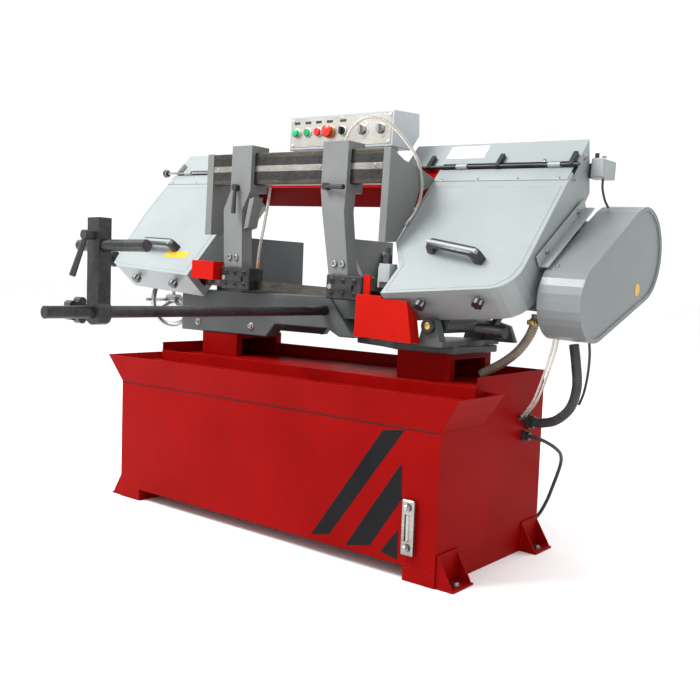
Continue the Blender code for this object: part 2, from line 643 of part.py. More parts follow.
def build_hinge_rod(x0, x1, knob_r):
    """The rod that a lid swings on, its brackets on the hood, and its end knob."""
    bar = rod((x0, HINGE_V, HINGE_W), (x1, HINGE_V, HINGE_W), HINGE_PIN_R, 20)
    tabs = []
    for x in (x0 + 0.058, (x0 + x1) / 2 + 0.02, x1 - 0.030):
        tabs.append(block((x, HINGE_V - 0.007, COVER_W + GAP), (x + 0.012, 0.290, COVER_W + 0.014)))
    knob = rod((x0 + 0.001, HINGE_V, HINGE_W), (x0 - 0.016, HINGE_V, HINGE_W), knob_r, 24)
    return tilted(union(bar, bevel(knob, 0.003), *tabs))


def wheel(x):
    """A spoked band wheel with a flanged rim, in the tilted plane."""
    profile = [(0.012, -0.030), (0.032, -0.030), (0.032, -0.006), (0.172, -0.006), (0.172, -WHEEL_W / 2),
               (RIM_R, -WHEEL_W / 2), (RIM_R, WHEEL_W / 2), (0.172, WHEEL_W / 2), (0.172, 0.006),
               (0.030, 0.006), (0.030, 0.022), (0.012, 0.022)]
    disc = turned(profile, 48)
    holes = []
    for i in range(5):
        a = math.radians(72 * i + 18)
        cx, cy = 0.105 * math.cos(a), 0.105 * math.sin(a)
        holes.append(rod((cx, cy, -0.03), (cx, cy, 0.03), 0.032, 14))
    return tilted(transform(cut(disc, *holes), Matrix.Translation((x, 0, 0))))


# ---------------------------------------------------------------- bow frame
def build_back_beam():
    """The red box tube that ties the housings and carries the return run inside it."""
    x0, x1 = 0.083 + GAP, 0.824 - GAP
    outer = block((x0, 0.180, -0.030), (x1, 0.2555, 0.054))
    inner = block((x0 - 0.01, 0.184, -0.026), (x1 + 0.01, 0.2515, 0.050))
    return tilted(cut(outer, inner))


def build_guide_beam():
    x0, x1 = BRACKET_LEFT[1] + GAP, BRACKET_RIGHT[0] - GAP
    return bevel(block((x0, BLADE_Y, BEAM_Z0), (x1, BLADE_Y + 0.040, BEAM_Z1)), 0.002)


def build_bracket(x0, x1):
    """An upright plate that carries the guide beam from one end of the back beam."""
    outline = [(0.248, 0.815), (0.300, 0.818), (0.372, 0.905), (0.392, 0.962), (0.4600, 0.9905),
               (0.4755, 1.0085), (0.400, 1.030), (0.314, 1.046), (0.248, 1.073)]
    return prism(outline, "x", x0, x1)


def build_blade():
    """The endless band: round both wheels, twisted upright between the guides."""
    stations = []
    half_turns = 20
    for i in range(half_turns + 1):
        a = math.radians(270 - 180 * i / half_turns)
        stations.append((WHEEL_X_IDLE + WHEEL_R * math.cos(a), WHEEL_R * math.sin(a), a, 0.0))
    for i in range(1, 4):
        x = WHEEL_X_IDLE + (WHEEL_X_DRIVE - WHEEL_X_IDLE) * i / 4
        stations.append((x, WHEEL_R, math.radians(90), 0.0))
    for i in range(half_turns + 1):
        a = math.radians(90 - 180 * i / half_turns)
        stations.append((WHEEL_X_DRIVE + WHEEL_R * math.cos(a), WHEEL_R * math.sin(a), a, 0.0))
    steps = 7
    twists = [(WHEEL_X_DRIVE + (TWIST_X[1] - WHEEL_X_DRIVE) * i / steps, i / steps) for i in range(1,
                                                                                                   steps + 1)]
    twists += [(TWIST_X[0] + (WHEEL_X_IDLE - TWIST_X[0]) * i / steps,
                1 - i / steps) for i in range(steps)]
    for x, share in twists:
        stations.append((x, -WHEEL_R, math.radians(-90), share))
    full = math.radians(90) - WHEEL_TILT
    bm = bmesh.new()
    rings = []
    for x, v, a, share in stations:
        centre = TILT @ Vector((x, v, 0))
        radial = Vector((math.cos(a), 0, 0)) + UP * math.sin(a)
        turn = Matrix.Rotation(-full * share, 3, "X")
        wide, thick = turn @ OUT, turn @ radial
        ring = []
        for sw, st in ((-1, -1), (1, -1), (1, 1), (-1, 1)):
            ring.append(bm.verts.new(centre + wide * (sw * BLADE_W / 2) + thick * (st * BLADE_T / 2)))
        rings.append(ring)
    for ring, following in zip(rings, rings[1:] + rings[:1]):
        for i in range(4):
            j = (i + 1) % 4
            bm.faces.new((ring[i], ring[j], following[j], following[i]))
    return new_object("blade", bm)


def channel(x0, x1, y0, y1, z0, z1, slant=0.0):
    """A folded guard over the blade: front, top and one closed end, open behind and below."""
    outline = [(x0, z0), (x1 + slant, z0), (x1, z1), (x0, z1)]
    shell = prism(outline, "y", y0, y1)
    wall = 0.002
    inner = [(x0 + wall, z0 - 0.01), (x1 + slant - wall, z0 - 0.01), (x1 - wall, z1 - wall),
             (x0 + wall, z1 - wall)]
    return cut(shell, prism(inner, "y", y0 + wall, y1 + 0.01))


def build_left_guard():
    return channel(0.094, 0.196, 0.190, 0.2330, 0.672, 0.730)


def build_right_guard():
    guard = channel(0.781, 0.950, 0.190, 0.2300, 0.552, 0.668, slant=0.024)
    relief = prism([(0.180, 0.6709), (0.240, 0.6185), (0.240, 0.700), (0.180, 0.700)], "x", 0.868, 1.0)
    return union(cut(guard, relief), block((0.7765, 0.2240, 0.640), (0.800, 0.2300, 0.722)))


def build_gearbox():
    """The worm gearbox behind the drive wheel, its input tube, and the bow's hinge barrel."""
    back = HOUSE_BACK_RIGHT - GAP
    case = bevel(block((0.936, -0.125, -0.135), (1.136, 0.090, back)), 0.006)
    case = tilted(case)
    tube = rod((1.130, WORM_Y, WORM_Z), (GUARD_X0 - GAP, WORM_Y, WORM_Z), 0.033, 32)
    barrel = rod((HINGE_X, 0.289, HINGE_Z), (HINGE_X, 0.4995, HINGE_Z), 0.0210, 32)
    web = prism([(0.300, 0.600), (0.440, 0.600), (0.440, 0.680), (0.350, 0.690), (0.300, 0.634)], "x",
                0.982, 1.018)
    case = union(case, tube, barrel, web)
    return cut(case, rod((HINGE_X, 0.2, HINGE_Z), (HINGE_X, 0.6, HINGE_Z), PIN_R + 0.00015, 32))


def build_motor():
    """The motor body with its end cap and terminal box, beside the belt guard."""
    right = GUARD_X0 - GAP
    body = rod((1.035, MOTOR_Y, MOTOR_Z), (right - 0.010, MOTOR_Y, MOTOR_Z), 0.062, 40)
    flange = rod((right - 0.012, MOTOR_Y, MOTOR_Z), (right, MOTOR_Y, MOTOR_Z), 0.078, 40)
    cowl = rod((1.010, MOTOR_Y, MOTOR_Z), (1.065, MOTOR_Y, MOTOR_Z), 0.066, 40)
    terminal = block((1.120, MOTOR_Y - 0.040, MOTOR_Z + 0.040),
                     (1.210, MOTOR_Y + 0.040, MOTOR_Z + 0.092))
    return union(body, flange, bevel(cowl, 0.004), bevel(terminal, 0.004))


def build_belt_guard():
    """The closed guard over the drive belt, between gearbox and motor."""
    low, high = (WORM_Y, WORM_Z), (MOTOR_Y, MOTOR_Z)
    outline = belt_outline(low, GUARD_R_LOW, high, GUARD_R_HIGH, 14)
    shell = prism(outline, "x", GUARD_X0, GUARD_X1)
    lip = belt_outline(low, GUARD_R_LOW - 0.010, high, GUARD_R_HIGH - 0.010, 14)
    recess = prism(lip, "x", GUARD_X1 - 0.004, GUARD_X1 + 0.01)
    inner = belt_outline(low, GUARD_R_LOW - 0.004, high, GUARD_R_HIGH - 0.004, 14)
    hollow = prism(inner, "x", GUARD_X0 + 0.003, GUARD_X1 - 0.008)
    vent = rod((GUARD_X0 - 0.02, 0.527, 0.756), (GUARD_X0 + 0.02, 0.527, 0.756), 0.030, 24)
    return cut(shell, recess, union(hollow, vent))


def build_limit_switch():
    return union(bevel(block((1.262, 0.560, 1.020), (1.300, 0.640, 1.072)), 0.003),
                 rod((1.281, 0.600, 1.070), (1.281, 0.600, 1.082), 0.006, 16))


def build_control_box():
    """The desk-shaped box above the back beam, on two posts."""
    profile = [(BOX_Y, BOX_Z0), (0.516, BOX_Z0), (0.556, 1.152), (0.548, 1.219), (BOX_Y, BOX_Z1)]
    box = bevel(prism(profile, "x", BOX_X0, BOX_X1), 0.002)
    front = inset([(BOX_X0, BOX_Z0), (BOX_X1, BOX_Z0), (BOX_X1, BOX_Z1), (BOX_X0, BOX_Z1)], 0.008)
    hollow = prism(inset(profile, 0.0045), "x", BOX_X0 + 0.0045, BOX_X1 - 0.0045)
    box = cut(box, prism(front, "y", BOX_Y - 0.01, BOX_Y + 0.0015), hollow)
    posts = []
    for x in (BOX_X0 + 0.060, BOX_X1 - 0.090):
        post = [(0.5080, 1.0455), (0.5300, 1.0264), (0.5300, 1.130), (0.5080, 1.130)]
        posts.append(prism(post, "x", x, x + 0.030))
    lamp = rod((0.311, BOX_Y + 0.004, CONTROL_Z), (0.311, BOX_Y - 0.010, CONTROL_Z), 0.0125, 24)
    sockets = [rod((x, BOX_Y - 0.02, CONTROL_Z), (x, BOX_Y + 0.020, CONTROL_Z), r, 24)
               for x, r in ((0.358, 0.0100), (0.403, 0.0100), (0.448, 0.0090), (0.503, 0.0080),
                            (0.580, 0.0050), (0.651, 0.0050))]
    return cut(union(box, *posts, lamp), *sockets)


def build_button(x, cap_r, neck_r, travel, head):
    """A push-button: a neck in the panel and a cap standing off by its travel."""
    face = BOX_Y + 0.0015
    cap = bevel(rod((x, face - travel - 0.001, CONTROL_Z), (x, face - travel - head, CONTROL_Z), cap_r,
                    24), 0.0012)
    neck = rod((x, face - travel - 0.002, CONTROL_Z), (x, face + 0.012, CONTROL_Z), neck_r, 24)
    return union(cap, neck)


def build_knob(x, radius, stem_r):
    """A pointer knob with a raised grip bar."""
    face = BOX_Y + 0.0015
    disc = bevel(rod((x, face - 0.001, CONTROL_Z), (x, face - 0.010, CONTROL_Z), radius, 28), 0.001)
    grip = block((x - 0.004, face - 0.019, CONTROL_Z - radius * 0.85),
                 (x + 0.004, face - 0.009, CONTROL_Z + radius * 0.85))
    stem = rod((x, face - 0.002, CONTROL_Z), (x, face + 0.012, CONTROL_Z), stem_r, 20)
    return union(disc, grip, stem)


# ---------------------------------------------------------------- guide arms
def build_arm(top, low_high, low_low):
    """A clamp round the beam with a tapering leg down to the blade guide."""
    head = block((top[0], ARM_Y0, BEAM_Z0 - 0.024), (top[1], BLADE_Y + 0.058, BEAM_Z1 + 0.022))
    slot = block((top[0] - 0.01, BLADE_Y - 0.0006, BEAM_Z0 - 0.0006),
                 (top[1] + 0.01, BLADE_Y + 0.0406, BEAM_Z1 + 0.0006))
    leg = prism([(low_low[0], GUIDE_Z1 - 0.001), (low_low[1], GUIDE_Z1 - 0.001), (low_high[1], 0.895),
                 (top[1], 0.955),
                 (top[0], 0.955), (low_high[0], 0.895)], "y", ARM_Y0, ARM_Y1)
    return cut(union(head, leg), slot)


def build_guide(x0, x1):
    """The guide shoe: two cheeks and a back above the blade, in one block."""
    body = bevel(block((x0, 0.217, 0.647), (x1, 0.281, GUIDE_Z1 - 0.0013)), 0.003)
    slot = block((x0 - 0.01, BLADE_Y - 0.0015, 0.60),
                 (x1 + 0.01, BLADE_Y + 0.0015, BLADE_Z + BLADE_W / 2 + 0.001))
    relief = block((x0 - 0.01, 0.262, 0.63), (x1 + 0.01, 0.30, 0.665))
    return cut(body, slot, relief)


def build_arm_lever(hub, tip):
    """A clamping handle on the front of an arm."""
    y = ARM_Y0 - GAP
    centre = rod((hub[0], y, hub[1]), (hub[0], y - 0.018, hub[1]), 0.0105, 20)
    arm = rod((hub[0], y - 0.012, hub[1]), (tip[0], y - 0.022, tip[1]), 0.0050, 14, end_radius=0.0075)
    return union(centre, arm)


def build_tension_knob():
    """The blade-tension handwheel at the idler's outer end."""
    start = -0.3808
    stem = rod((start, TENSION_V, 0.0), (-0.470, TENSION_V, 0.0), 0.008, 20)
    knob = bevel(rod((-0.452, TENSION_V, 0.0), (-0.488, TENSION_V, 0.0), 0.030, 12), 0.004)
    return tilted(union(stem, knob))



# ---------------------------------------------------------------- hoses and cords
def smooth_path(points, step):
    """A Catmull-Rom curve through the points, sampled at about one step."""
    pts = [Vector(p) for p in points]
    pts = [2 * pts[0] - pts[1]] + pts + [2 * pts[-1] - pts[-2]]
    path = []
    for i in range(1, len(pts) - 2):
        p0, p1, p2, p3 = pts[i - 1:i + 3]
        count = max(1, round((p2 - p1).length / step))
        for k in range(count):
            t = k / count
            path.append(0.5 * (2 * p1 + (p2 - p0) * t + (2 * p0 - 5 * p1 + 4 * p2 - p3) * t * t
                               + (3 * p1 - p0 - 3 * p2 + p3) * t * t * t))
    path.append(pts[-2])
    return path


def tube(points, radius, step, sides=10):
    """A capped round tube swept along a smooth path."""
    path = smooth_path(points, step)
    bm = bmesh.new()
    rings = []
    tangent = (path[1] - path[0]).normalized()
    side = tangent.orthogonal().normalized()
    for i, point in enumerate(path):
        ahead = path[min(i + 1, len(path) - 1)] - path[max(i - 1, 0)]
        side = (side - ahead.normalized() * side.dot(ahead.normalized())).normalized()
        up = ahead.normalized().cross(side)
        angles = [2 * math.pi * k / sides for k in range(sides)]
        rings.append([bm.verts.new(point + (side * math.cos(a) + up * math.sin(a)) * radius) for a in angles])
    bm.faces.new(rings[0])
    bm.faces.new(rings[-1])
    for low, high in zip(rings, rings[1:]):
        for k in range(sides):
            bm.faces.new((low[k], low[(k + 1) % sides], high[(k + 1) % sides], high[k]))
    return new_object("tube", bm)


CONDUIT_ROUTE = [(1.331, 0.400, 0.570), (1.336, 0.408, 0.520), (1.338, 0.416, 0.460),
                 (1.322, 0.420, 0.405), (1.285, 0.421, 0.368), (1.245, 0.421, 0.3545),
                 (1.2232, 0.421, 0.354)]
DRAIN_ROUTE = [(1.222, 0.400, 0.640), (1.216, 0.400, 0.610), (1.200, 0.400, 0.575),
               (1.170, 0.400, 0.537), (1.130, 0.400, 0.506), (1.092, 0.400, 0.484),
               (1.064, 0.400, 0.4685)]
MAINS_EXIT = (CAB_L + 0.0225, 0.398, 0.318)
MAINS_ROUTE = [MAINS_EXIT, (1.240, 0.3985, 0.3172), (1.258, 0.403, 0.312), (1.272, 0.420, 0.301),
               (1.277, 0.448, 0.286), (1.272, 0.484, 0.267), (1.258, 0.520, 0.240),
               (1.236, 0.553, 0.203), (1.210, 0.580, 0.155), (1.184, 0.600, 0.103),
               (1.155, 0.613, 0.055), (1.122, 0.6205, 0.021), (1.085, 0.6235, 0.0075),
               (1.045, 0.6225, 0.0052), (1.005, 0.6180, 0.0051)]
CORD_D, COIL_R, COIL_TURNS, COIL_CENTRE = 0.010, 0.055, 5, (0.965, 0.6700)
PLUG_REACH, PLUG_Z = 0.125, 0.0190


def coil_points():
    """Turns lying beside and on each other, wound from the floor upwards."""
    points = []
    per_turn = 12
    for i in range(per_turn * COIL_TURNS + 1):
        turn = i / per_turn
        layer = min(int(turn), COIL_TURNS - 1)
        ease = max(0.0, (turn - layer) * 4 - 3) if layer < COIL_TURNS - 1 else 0.0
        ring = layer + ease
        radius = COIL_R + (0.0052 if layer % 2 else -0.0052)
        target = COIL_R + (0.0052 if (layer + 1) % 2 else -0.0052)
        radius += (target - radius) * ease
        angle = math.radians(-90) - 2 * math.pi * turn
        height = 0.0052 + 0.0052 * ring * 1.72
        points.append((COIL_CENTRE[0] + radius * math.cos(angle),
                       COIL_CENTRE[1] + radius * math.sin(angle), height))
    x, y, z = points[-1]
    return points + [(x - 0.030, y, z - 0.005), (x - 0.065, y, z - 0.019), (x - 0.095, y, 0.0200),
                     (x - PLUG_REACH, y, PLUG_Z)]


def build_mains_plug():
    """A moulded plug lying on the floor beside the coil, at the cord's end."""
    x, y, z = coil_points()[-1]
    x -= GAP
    body = rod((x, y, z), (x - 0.052, y, z), 0.0125, 20, end_radius=0.0185)
    pins = [rod((x - 0.050, y + dy, z), (x - 0.071, y + dy, z), 0.0024, 10) for dy in (-0.0095, 0.0095)]
    return union(body, *pins)


# ---------------------------------------------------------------- assembly
def build():
    for obj in list(bpy.data.objects):
        bpy.data.objects.remove(obj, do_unlink=True)
    mats = make_materials()

    base = Pivot("machine", (0, 0, 0))
    fixed = [(build_cabinet, "cabinet", "red_paint"), (build_tray, "coolant_tray", "grey_paint"),
             (build_level_gauge, "level_gauge", "black_plastic"),
             (build_bed_pedestal, "bed_pedestal", "grey_paint"),
             (build_turret_pedestal, "turret_pedestal", "grey_paint"), (build_swivel_base, "swivel_base",
                                                                        "casting"),
             (build_bed, "bed", "grey_paint"), (build_fixed_jaw, "fixed_jaw", "casting"),
             (build_stop_rod, "stop_rod", "steel")]
    for builder, name, mat in fixed:
        base.add(builder(), name, mats[mat])
    base.add(build_skid(0.0, 0.0, -1), "skid_left", mats["grey_paint"])
    base.add(build_skid(CAB_L - SKID_L, CAB_L, 1), "skid_right", mats["grey_paint"])
    base.add(build_gland(CONDUIT_GLAND, 0.0170, 0.021), "conduit_gland", mats["black_plastic"])
    base.add(build_gland(MAINS_GLAND, 0.0115, 0.014), "mains_gland", mats["black_plastic"])

    mid_stop = (STOP_Y0 + STOP_Y1) / 2
    jaw_slide = Pivot("moving_jaw_axis", (0.150, SCREW_Y, SCREW_Z), base)
    jaw_slide.add(build_moving_jaw(), "moving_jaw", mats["casting"])
    screw = Pivot("vise_axis", (HANDWHEEL_X, SCREW_Y, SCREW_Z), base)
    screw.add(build_handwheel(), "vise_handwheel", mats["black_steel"])
    stop = Pivot("stop_axis", (ROD_X, mid_stop, ROD_Z), base)
    stop.add(build_stop_bracket(), "stop_bracket", mats["casting"])
    pin = Pivot("stop_pin_axis", (ROD_X, mid_stop, STOP_PIN_Z), stop)
    pin.add(build_stop_pin(), "stop_pin", mats["steel"])
    clamp = Pivot("stop_clamp_axis", (ROD_X, STOP_Y0, STOP_LEVER_Z), stop)
    clamp.add(build_stop_clamp_lever(), "stop_clamp_lever", mats["black_plastic"])
    star = Pivot("stop_star_axis", (ROD_X - 0.06, mid_stop, ROD_Z), stop)
    star.add(build_stop_star_knob(), "stop_star_knob", mats["black_plastic"])

    turret = Pivot("swivel_axis", (SWIVEL_X, SWIVEL_Y, 0.545), base)
    turret.add(build_turret(), "swivel_turret", mats["casting"])
    turret.add(build_hinge_pin(), "hinge_pin", mats["black_steel"])

    bow = Pivot("bow_axis", (HINGE_X, 0.400, HINGE_Z), turret, rotation=(0.0, BOW_PITCH, 0.0))
    framed = [(build_left_housing, "left_housing", "casting"),
              (build_right_housing, "right_housing", "casting"),
              (build_back_beam, "back_beam", "red_paint"), (build_guide_beam, "guide_beam", "steel"),
              (build_blade, "blade", "steel"), (build_left_guard, "left_guard", "red_paint"),
              (build_right_guard, "right_guard", "red_paint"), (build_gearbox, "gearbox", "casting"),
              (build_motor, "motor", "casting"), (build_belt_guard, "belt_guard", "casting"),
              (build_limit_switch, "limit_switch", "black_plastic"), (build_control_box, "control_box",
                                                                      "panel")]
    for builder, name, mat in framed:
        bow.add(builder(), name, mats[mat])
    bow.add(build_feed_cylinder(), "feed_cylinder", mats["black_steel"])
    bow.add(build_bracket(*BRACKET_LEFT), "left_bracket", mats["casting"])
    bow.add(build_bracket(*BRACKET_RIGHT), "right_bracket", mats["casting"])
    bow.add(build_hinge_rod(-0.418, 0.082, 0.015), "left_hinge_rod", mats["steel"])
    bow.add(build_hinge_rod(0.722, 1.262, 0.010), "right_hinge_rod", mats["steel"])

    left_lid = Pivot("left_cover_axis", TILT @ Vector((-0.150, HINGE_V, HINGE_W)), bow)
    left_lid.add(build_left_cover(), "left_cover", mats["grey_paint"])
    right_lid = Pivot("right_cover_axis", TILT @ Vector((1.036, HINGE_V, HINGE_W)), bow)
    right_lid.add(build_right_cover(), "right_cover", mats["grey_paint"])
    idler = Pivot("idler_axis", TILT @ Vector((WHEEL_X_IDLE, 0, 0)), bow)
    idler.add(wheel(WHEEL_X_IDLE), "idler_wheel", mats["casting"])
    drive = Pivot("drive_axis", TILT @ Vector((WHEEL_X_DRIVE, 0, 0)), bow)
    drive.add(wheel(WHEEL_X_DRIVE), "drive_wheel", mats["casting"])
    tension = Pivot("tension_axis", TILT @ Vector((-0.45, TENSION_V, 0)), bow)
    tension.add(build_tension_knob(), "tension_knob", mats["black_plastic"])

    left_arm = Pivot("left_arm_axis", (0.250, BLADE_Y, 0.900), bow)
    left_arm.add(build_arm((0.212, 0.300), (0.184, 0.267), (0.197, 0.279)), "left_arm", mats["casting"])
    left_arm.add(build_guide(0.204, 0.330), "left_guide", mats["black_steel"])
    left_lever = Pivot("left_lever_axis", (0.244, ARM_Y0, 0.964), left_arm)
    left_lever.add(build_arm_lever((0.244, 0.964), (0.252, 0.884)), "left_arm_lever",
                   mats["black_plastic"])
    right_arm = Pivot("right_arm_axis", (0.640, BLADE_Y, 0.900), bow)
    right_arm.add(build_arm((0.591, 0.685), (0.600, 0.682), (0.638, 0.710)), "right_arm",
                  mats["casting"])
    right_arm.add(build_guide(0.645, 0.774), "right_guide", mats["black_steel"])
    right_lever = Pivot("right_lever_axis", (0.618, ARM_Y0, 0.965), right_arm)
    right_lever.add(build_arm_lever((0.618, 0.965), (0.693, 0.962)), "right_arm_lever",
                    mats["black_plastic"])

    for name, x, cap_r, neck_r, travel, head, mat in (
            ("start_button", 0.358, 0.0125, 0.0095, 0.004, 0.007, "green_plastic"),
            ("stop_button", 0.403, 0.0125, 0.0095, 0.004, 0.010, "red_plastic"),
            ("emergency_stop", 0.448, 0.0190, 0.0085, 0.006, 0.014, "red_plastic")):
        button = Pivot(name + "_axis", (x, BOX_Y, CONTROL_Z), bow)
        button.add(build_button(x, cap_r, neck_r, travel, head), name, mats[mat])
    for name, x, radius, stem in (("selector_switch", 0.503, 0.0125, 0.0075),
                                  ("speed_knob", 0.580, 0.0150, 0.0045),
                                  ("feed_knob", 0.651, 0.0150, 0.0045)):
        knob = Pivot(name + "_axis", (x, BOX_Y, CONTROL_Z), bow)
        knob.add(build_knob(x, radius, stem), name, mats["black_plastic"])

    base.add(tube(CONDUIT_ROUTE, 0.013, 0.022, 14), "motor_conduit", mats["rubber"])
    base.add(tube(DRAIN_ROUTE, 0.0125, 0.02, 14), "drain_hose", mats["rubber"])
    cord_points = MAINS_ROUTE + coil_points()
    base.add(tube(cord_points, CORD_D / 2, 0.024, 8), "mains_cord", mats["rubber"])
    base.add(build_mains_plug(), "mains_plug", mats["black_plastic"])


build()
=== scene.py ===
"""The looks of a horizontal band saw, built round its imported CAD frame."""

import json
import math

import bmesh
import bpy
from mathutils import Matrix, Vector


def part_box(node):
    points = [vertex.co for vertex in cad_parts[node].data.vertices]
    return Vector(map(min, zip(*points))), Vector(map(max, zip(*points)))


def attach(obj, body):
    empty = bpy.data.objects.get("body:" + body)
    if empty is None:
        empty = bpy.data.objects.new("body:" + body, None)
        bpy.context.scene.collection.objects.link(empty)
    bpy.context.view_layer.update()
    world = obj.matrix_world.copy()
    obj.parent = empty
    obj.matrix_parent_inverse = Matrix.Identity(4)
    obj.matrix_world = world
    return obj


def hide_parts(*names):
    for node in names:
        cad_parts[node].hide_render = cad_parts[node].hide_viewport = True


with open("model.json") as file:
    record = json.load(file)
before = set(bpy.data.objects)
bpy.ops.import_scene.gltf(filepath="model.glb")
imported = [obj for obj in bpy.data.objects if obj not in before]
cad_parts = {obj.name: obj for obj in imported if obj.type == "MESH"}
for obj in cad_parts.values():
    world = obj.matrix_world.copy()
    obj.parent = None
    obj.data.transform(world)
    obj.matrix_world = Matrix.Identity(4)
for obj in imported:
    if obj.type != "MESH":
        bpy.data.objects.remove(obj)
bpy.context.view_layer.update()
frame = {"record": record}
JOINTS = {j["name"]: j for j in frame["record"]["behaviour"]["joints"]}

# ---------------------------------------------------------------- frames of reference
CAB_LO, CAB_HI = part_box("cabinet")
BASE_X, BASE_Y = CAB_LO[0], CAB_LO[1]
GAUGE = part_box("level_gauge")
HINGE = Vector(JOINTS["bow_lift"]["pos_m"])
X_AXIS = Vector(JOINTS["tension_knob_turn"]["axis"])
OUT = Vector(JOINTS["drive_wheel_spin"]["axis"])
UP = OUT.cross(X_AXIS)
DRIVE = Vector(JOINTS["drive_wheel_spin"]["pos_m"])
PITCH = math.asin(-X_AXIS.z)
MACHINE = Matrix.Translation((BASE_X, BASE_Y, 0.0))
HINGE_X, HINGE_Z = HINGE.x - BASE_X, HINGE.z
BOW = (MACHINE @ Matrix.Translation((HINGE_X, 0, HINGE_Z)) @ Matrix.Rotation(PITCH, 4, "Y")
       @ Matrix.Translation((-HINGE_X, 0, -HINGE_Z)))
DRIVE_X = (BOW.inverted() @ DRIVE).x
WHEEL_PLANE = Matrix.Identity(4)
for column, vector in enumerate((X_AXIS, UP, OUT)):
    for row in range(3):
        WHEEL_PLANE[row][column] = vector[row]
for row in range(3):
    WHEEL_PLANE[row][3] = (DRIVE - X_AXIS * DRIVE_X)[row]
COVER_W, HINGE_V = 0.063, 0.246


# ---------------------------------------------------------------- camera, floor, lights
def make_camera():
    """The eye stands right of the machine at about table height, level to within a few degrees."""
    azimuth, elevation, roll = math.radians(39.0), math.radians(4.56), math.radians(2.10)
    eye = MACHINE @ Vector((2.2766, -1.6725, 0.7113))
    back = Vector((math.sin(azimuth) * math.cos(elevation), -math.cos(azimuth) * math.cos(elevation),
                   math.sin(elevation)))
    right = Vector((math.cos(azimuth), math.sin(azimuth), 0.0))
    up = back.cross(right)
    side = right * math.cos(roll) + up * math.sin(roll)
    top = up * math.cos(roll) - right * math.sin(roll)
    data = bpy.data.cameras.new("camera")
    data.lens, data.sensor_width = 44.64, 36.0
    camera = bpy.data.objects.new("camera", data)
    bpy.context.collection.objects.link(camera)
    turn = Matrix((side, top, back)).transposed().to_4x4()
    camera.matrix_world = Matrix.Translation(eye) @ turn
    bpy.context.scene.camera = camera


def area_light(name, place, target, size, power, colour=(1, 1, 1)):
    data = bpy.data.lights.new(name, "AREA")
    data.shape, data.size, data.energy, data.color = "SQUARE", size, power, colour
    light = bpy.data.objects.new(name, data)
    bpy.context.collection.objects.link(light)
    light.location = place
    light.rotation_euler = (Vector(place) - Vector(target)).to_track_quat("Z", "Y").to_euler()


def make_stage():
    bm = bmesh.new()
    bmesh.ops.create_grid(bm, x_segments=1, y_segments=1, size=60.0)
    mesh = bpy.data.meshes.new("floor")
    bm.to_mesh(mesh)
    bm.free()
    floor = bpy.data.objects.new("floor", mesh)
    floor.location.z = -0.0005
    bpy.context.collection.objects.link(floor)
    mat, _, _, shader = new_material("floor_plain")
    shader.inputs["Base Color"].default_value = (0.90, 0.90, 0.90, 1)
    shader.inputs["Roughness"].default_value = 0.9
    mesh.materials.append(mat)
    world = bpy.data.worlds.new("studio")
    world.use_nodes = True
    world.node_tree.nodes["Background"].inputs[0].default_value = (1.0, 1.0, 1.0, 1)
    world.node_tree.nodes["Background"].inputs[1].default_value = 1.10
    bpy.context.scene.world = world
    area_light("key", (-1.5, -2.2, 4.0), (0, 0, 0.6), 1.8, 300)
    area_light("fill", (3.2, -2.2, 2.6), (0, 0, 0.6), 2.6, 12)
    area_light("rim", (1.0, 3.0, 3.2), (0, 0, 0.8), 2.0, 60)
    bpy.context.scene.view_settings.view_transform = "Standard"


# ---------------------------------------------------------------- material helpers
def new_material(name):
    mat = bpy.data.materials.new(name)
    mat.use_nodes = True
    tree = mat.node_tree
    return mat, tree.nodes, tree.links, tree.nodes["Principled BSDF"]


def noise(nodes, links, scale, detail=4.0, rough=0.55, stretch=(1, 1, 1)):
    """Noise in object space, stretched along an axis for grain."""
    coords = nodes.new("ShaderNodeTexCoord")
    mapping = nodes.new("ShaderNodeMapping")
    mapping.inputs["Scale"].default_value = stretch
    texture = nodes.new("ShaderNodeTexNoise")
    texture.inputs["Scale"].default_value = scale
    texture.inputs["Detail"].default_value = detail
    texture.inputs["Roughness"].default_value = rough
    links.new(coords.outputs["Object"], mapping.inputs["Vector"])
    links.new(mapping.outputs["Vector"], texture.inputs["Vector"])
    return texture.outputs["Fac"]


def ramp(nodes, links, value, stops):
    node = nodes.new("ShaderNodeValToRGB")
    while len(node.color_ramp.elements) < len(stops):
        node.color_ramp.elements.new(0.5)
    for element, (place, colour) in zip(node.color_ramp.elements, stops):
        element.position = place
        element.color = (*colour, 1.0)
    links.new(value, node.inputs["Fac"])
    return node.outputs["Color"]


def spread(nodes, links, value, low, high):
    node = nodes.new("ShaderNodeMapRange")
    node.inputs["From Min"].default_value = 0.25
    node.inputs["From Max"].default_value = 0.75
    node.inputs["To Min"].default_value = low
    node.inputs["To Max"].default_value = high
    links.new(value, node.inputs["Value"])
    return node.outputs["Result"]


def painted_edge_highlight(nodes, links, colour, edge_highlight_colour, amount):
    """A painted highlight: a lighter tint where the surface turns sharply, as light catches paint on a
    folded edge.
    """
    geometry = nodes.new("ShaderNodeNewGeometry")
    bevel = nodes.new("ShaderNodeBevel")
    bevel.samples = 4
    bevel.inputs["Radius"].default_value = 0.0018
    dot = nodes.new("ShaderNodeVectorMath")
    dot.operation = "DOT_PRODUCT"
    links.new(geometry.outputs["Normal"], dot.inputs[0])
    links.new(bevel.outputs["Normal"], dot.inputs[1])
    mask = nodes.new("ShaderNodeMapRange")
    mask.inputs["From Min"].default_value = 0.995
    mask.inputs["From Max"].default_value = 0.85
    mask.inputs["To Max"].default_value = amount
    links.new(dot.outputs["Value"], mask.inputs["Value"])
    # painted highlight: the edge mask mixes the lighter colour in along sharp edges
    mix = nodes.new("ShaderNodeMix")
    mix.data_type = "RGBA"
    links.new(mask.outputs["Result"], mix.inputs["Factor"])
    links.new(colour, mix.inputs["A"])
    mix.inputs["B"].default_value = (*edge_highlight_colour, 1.0)
    return mix.outputs["Result"]


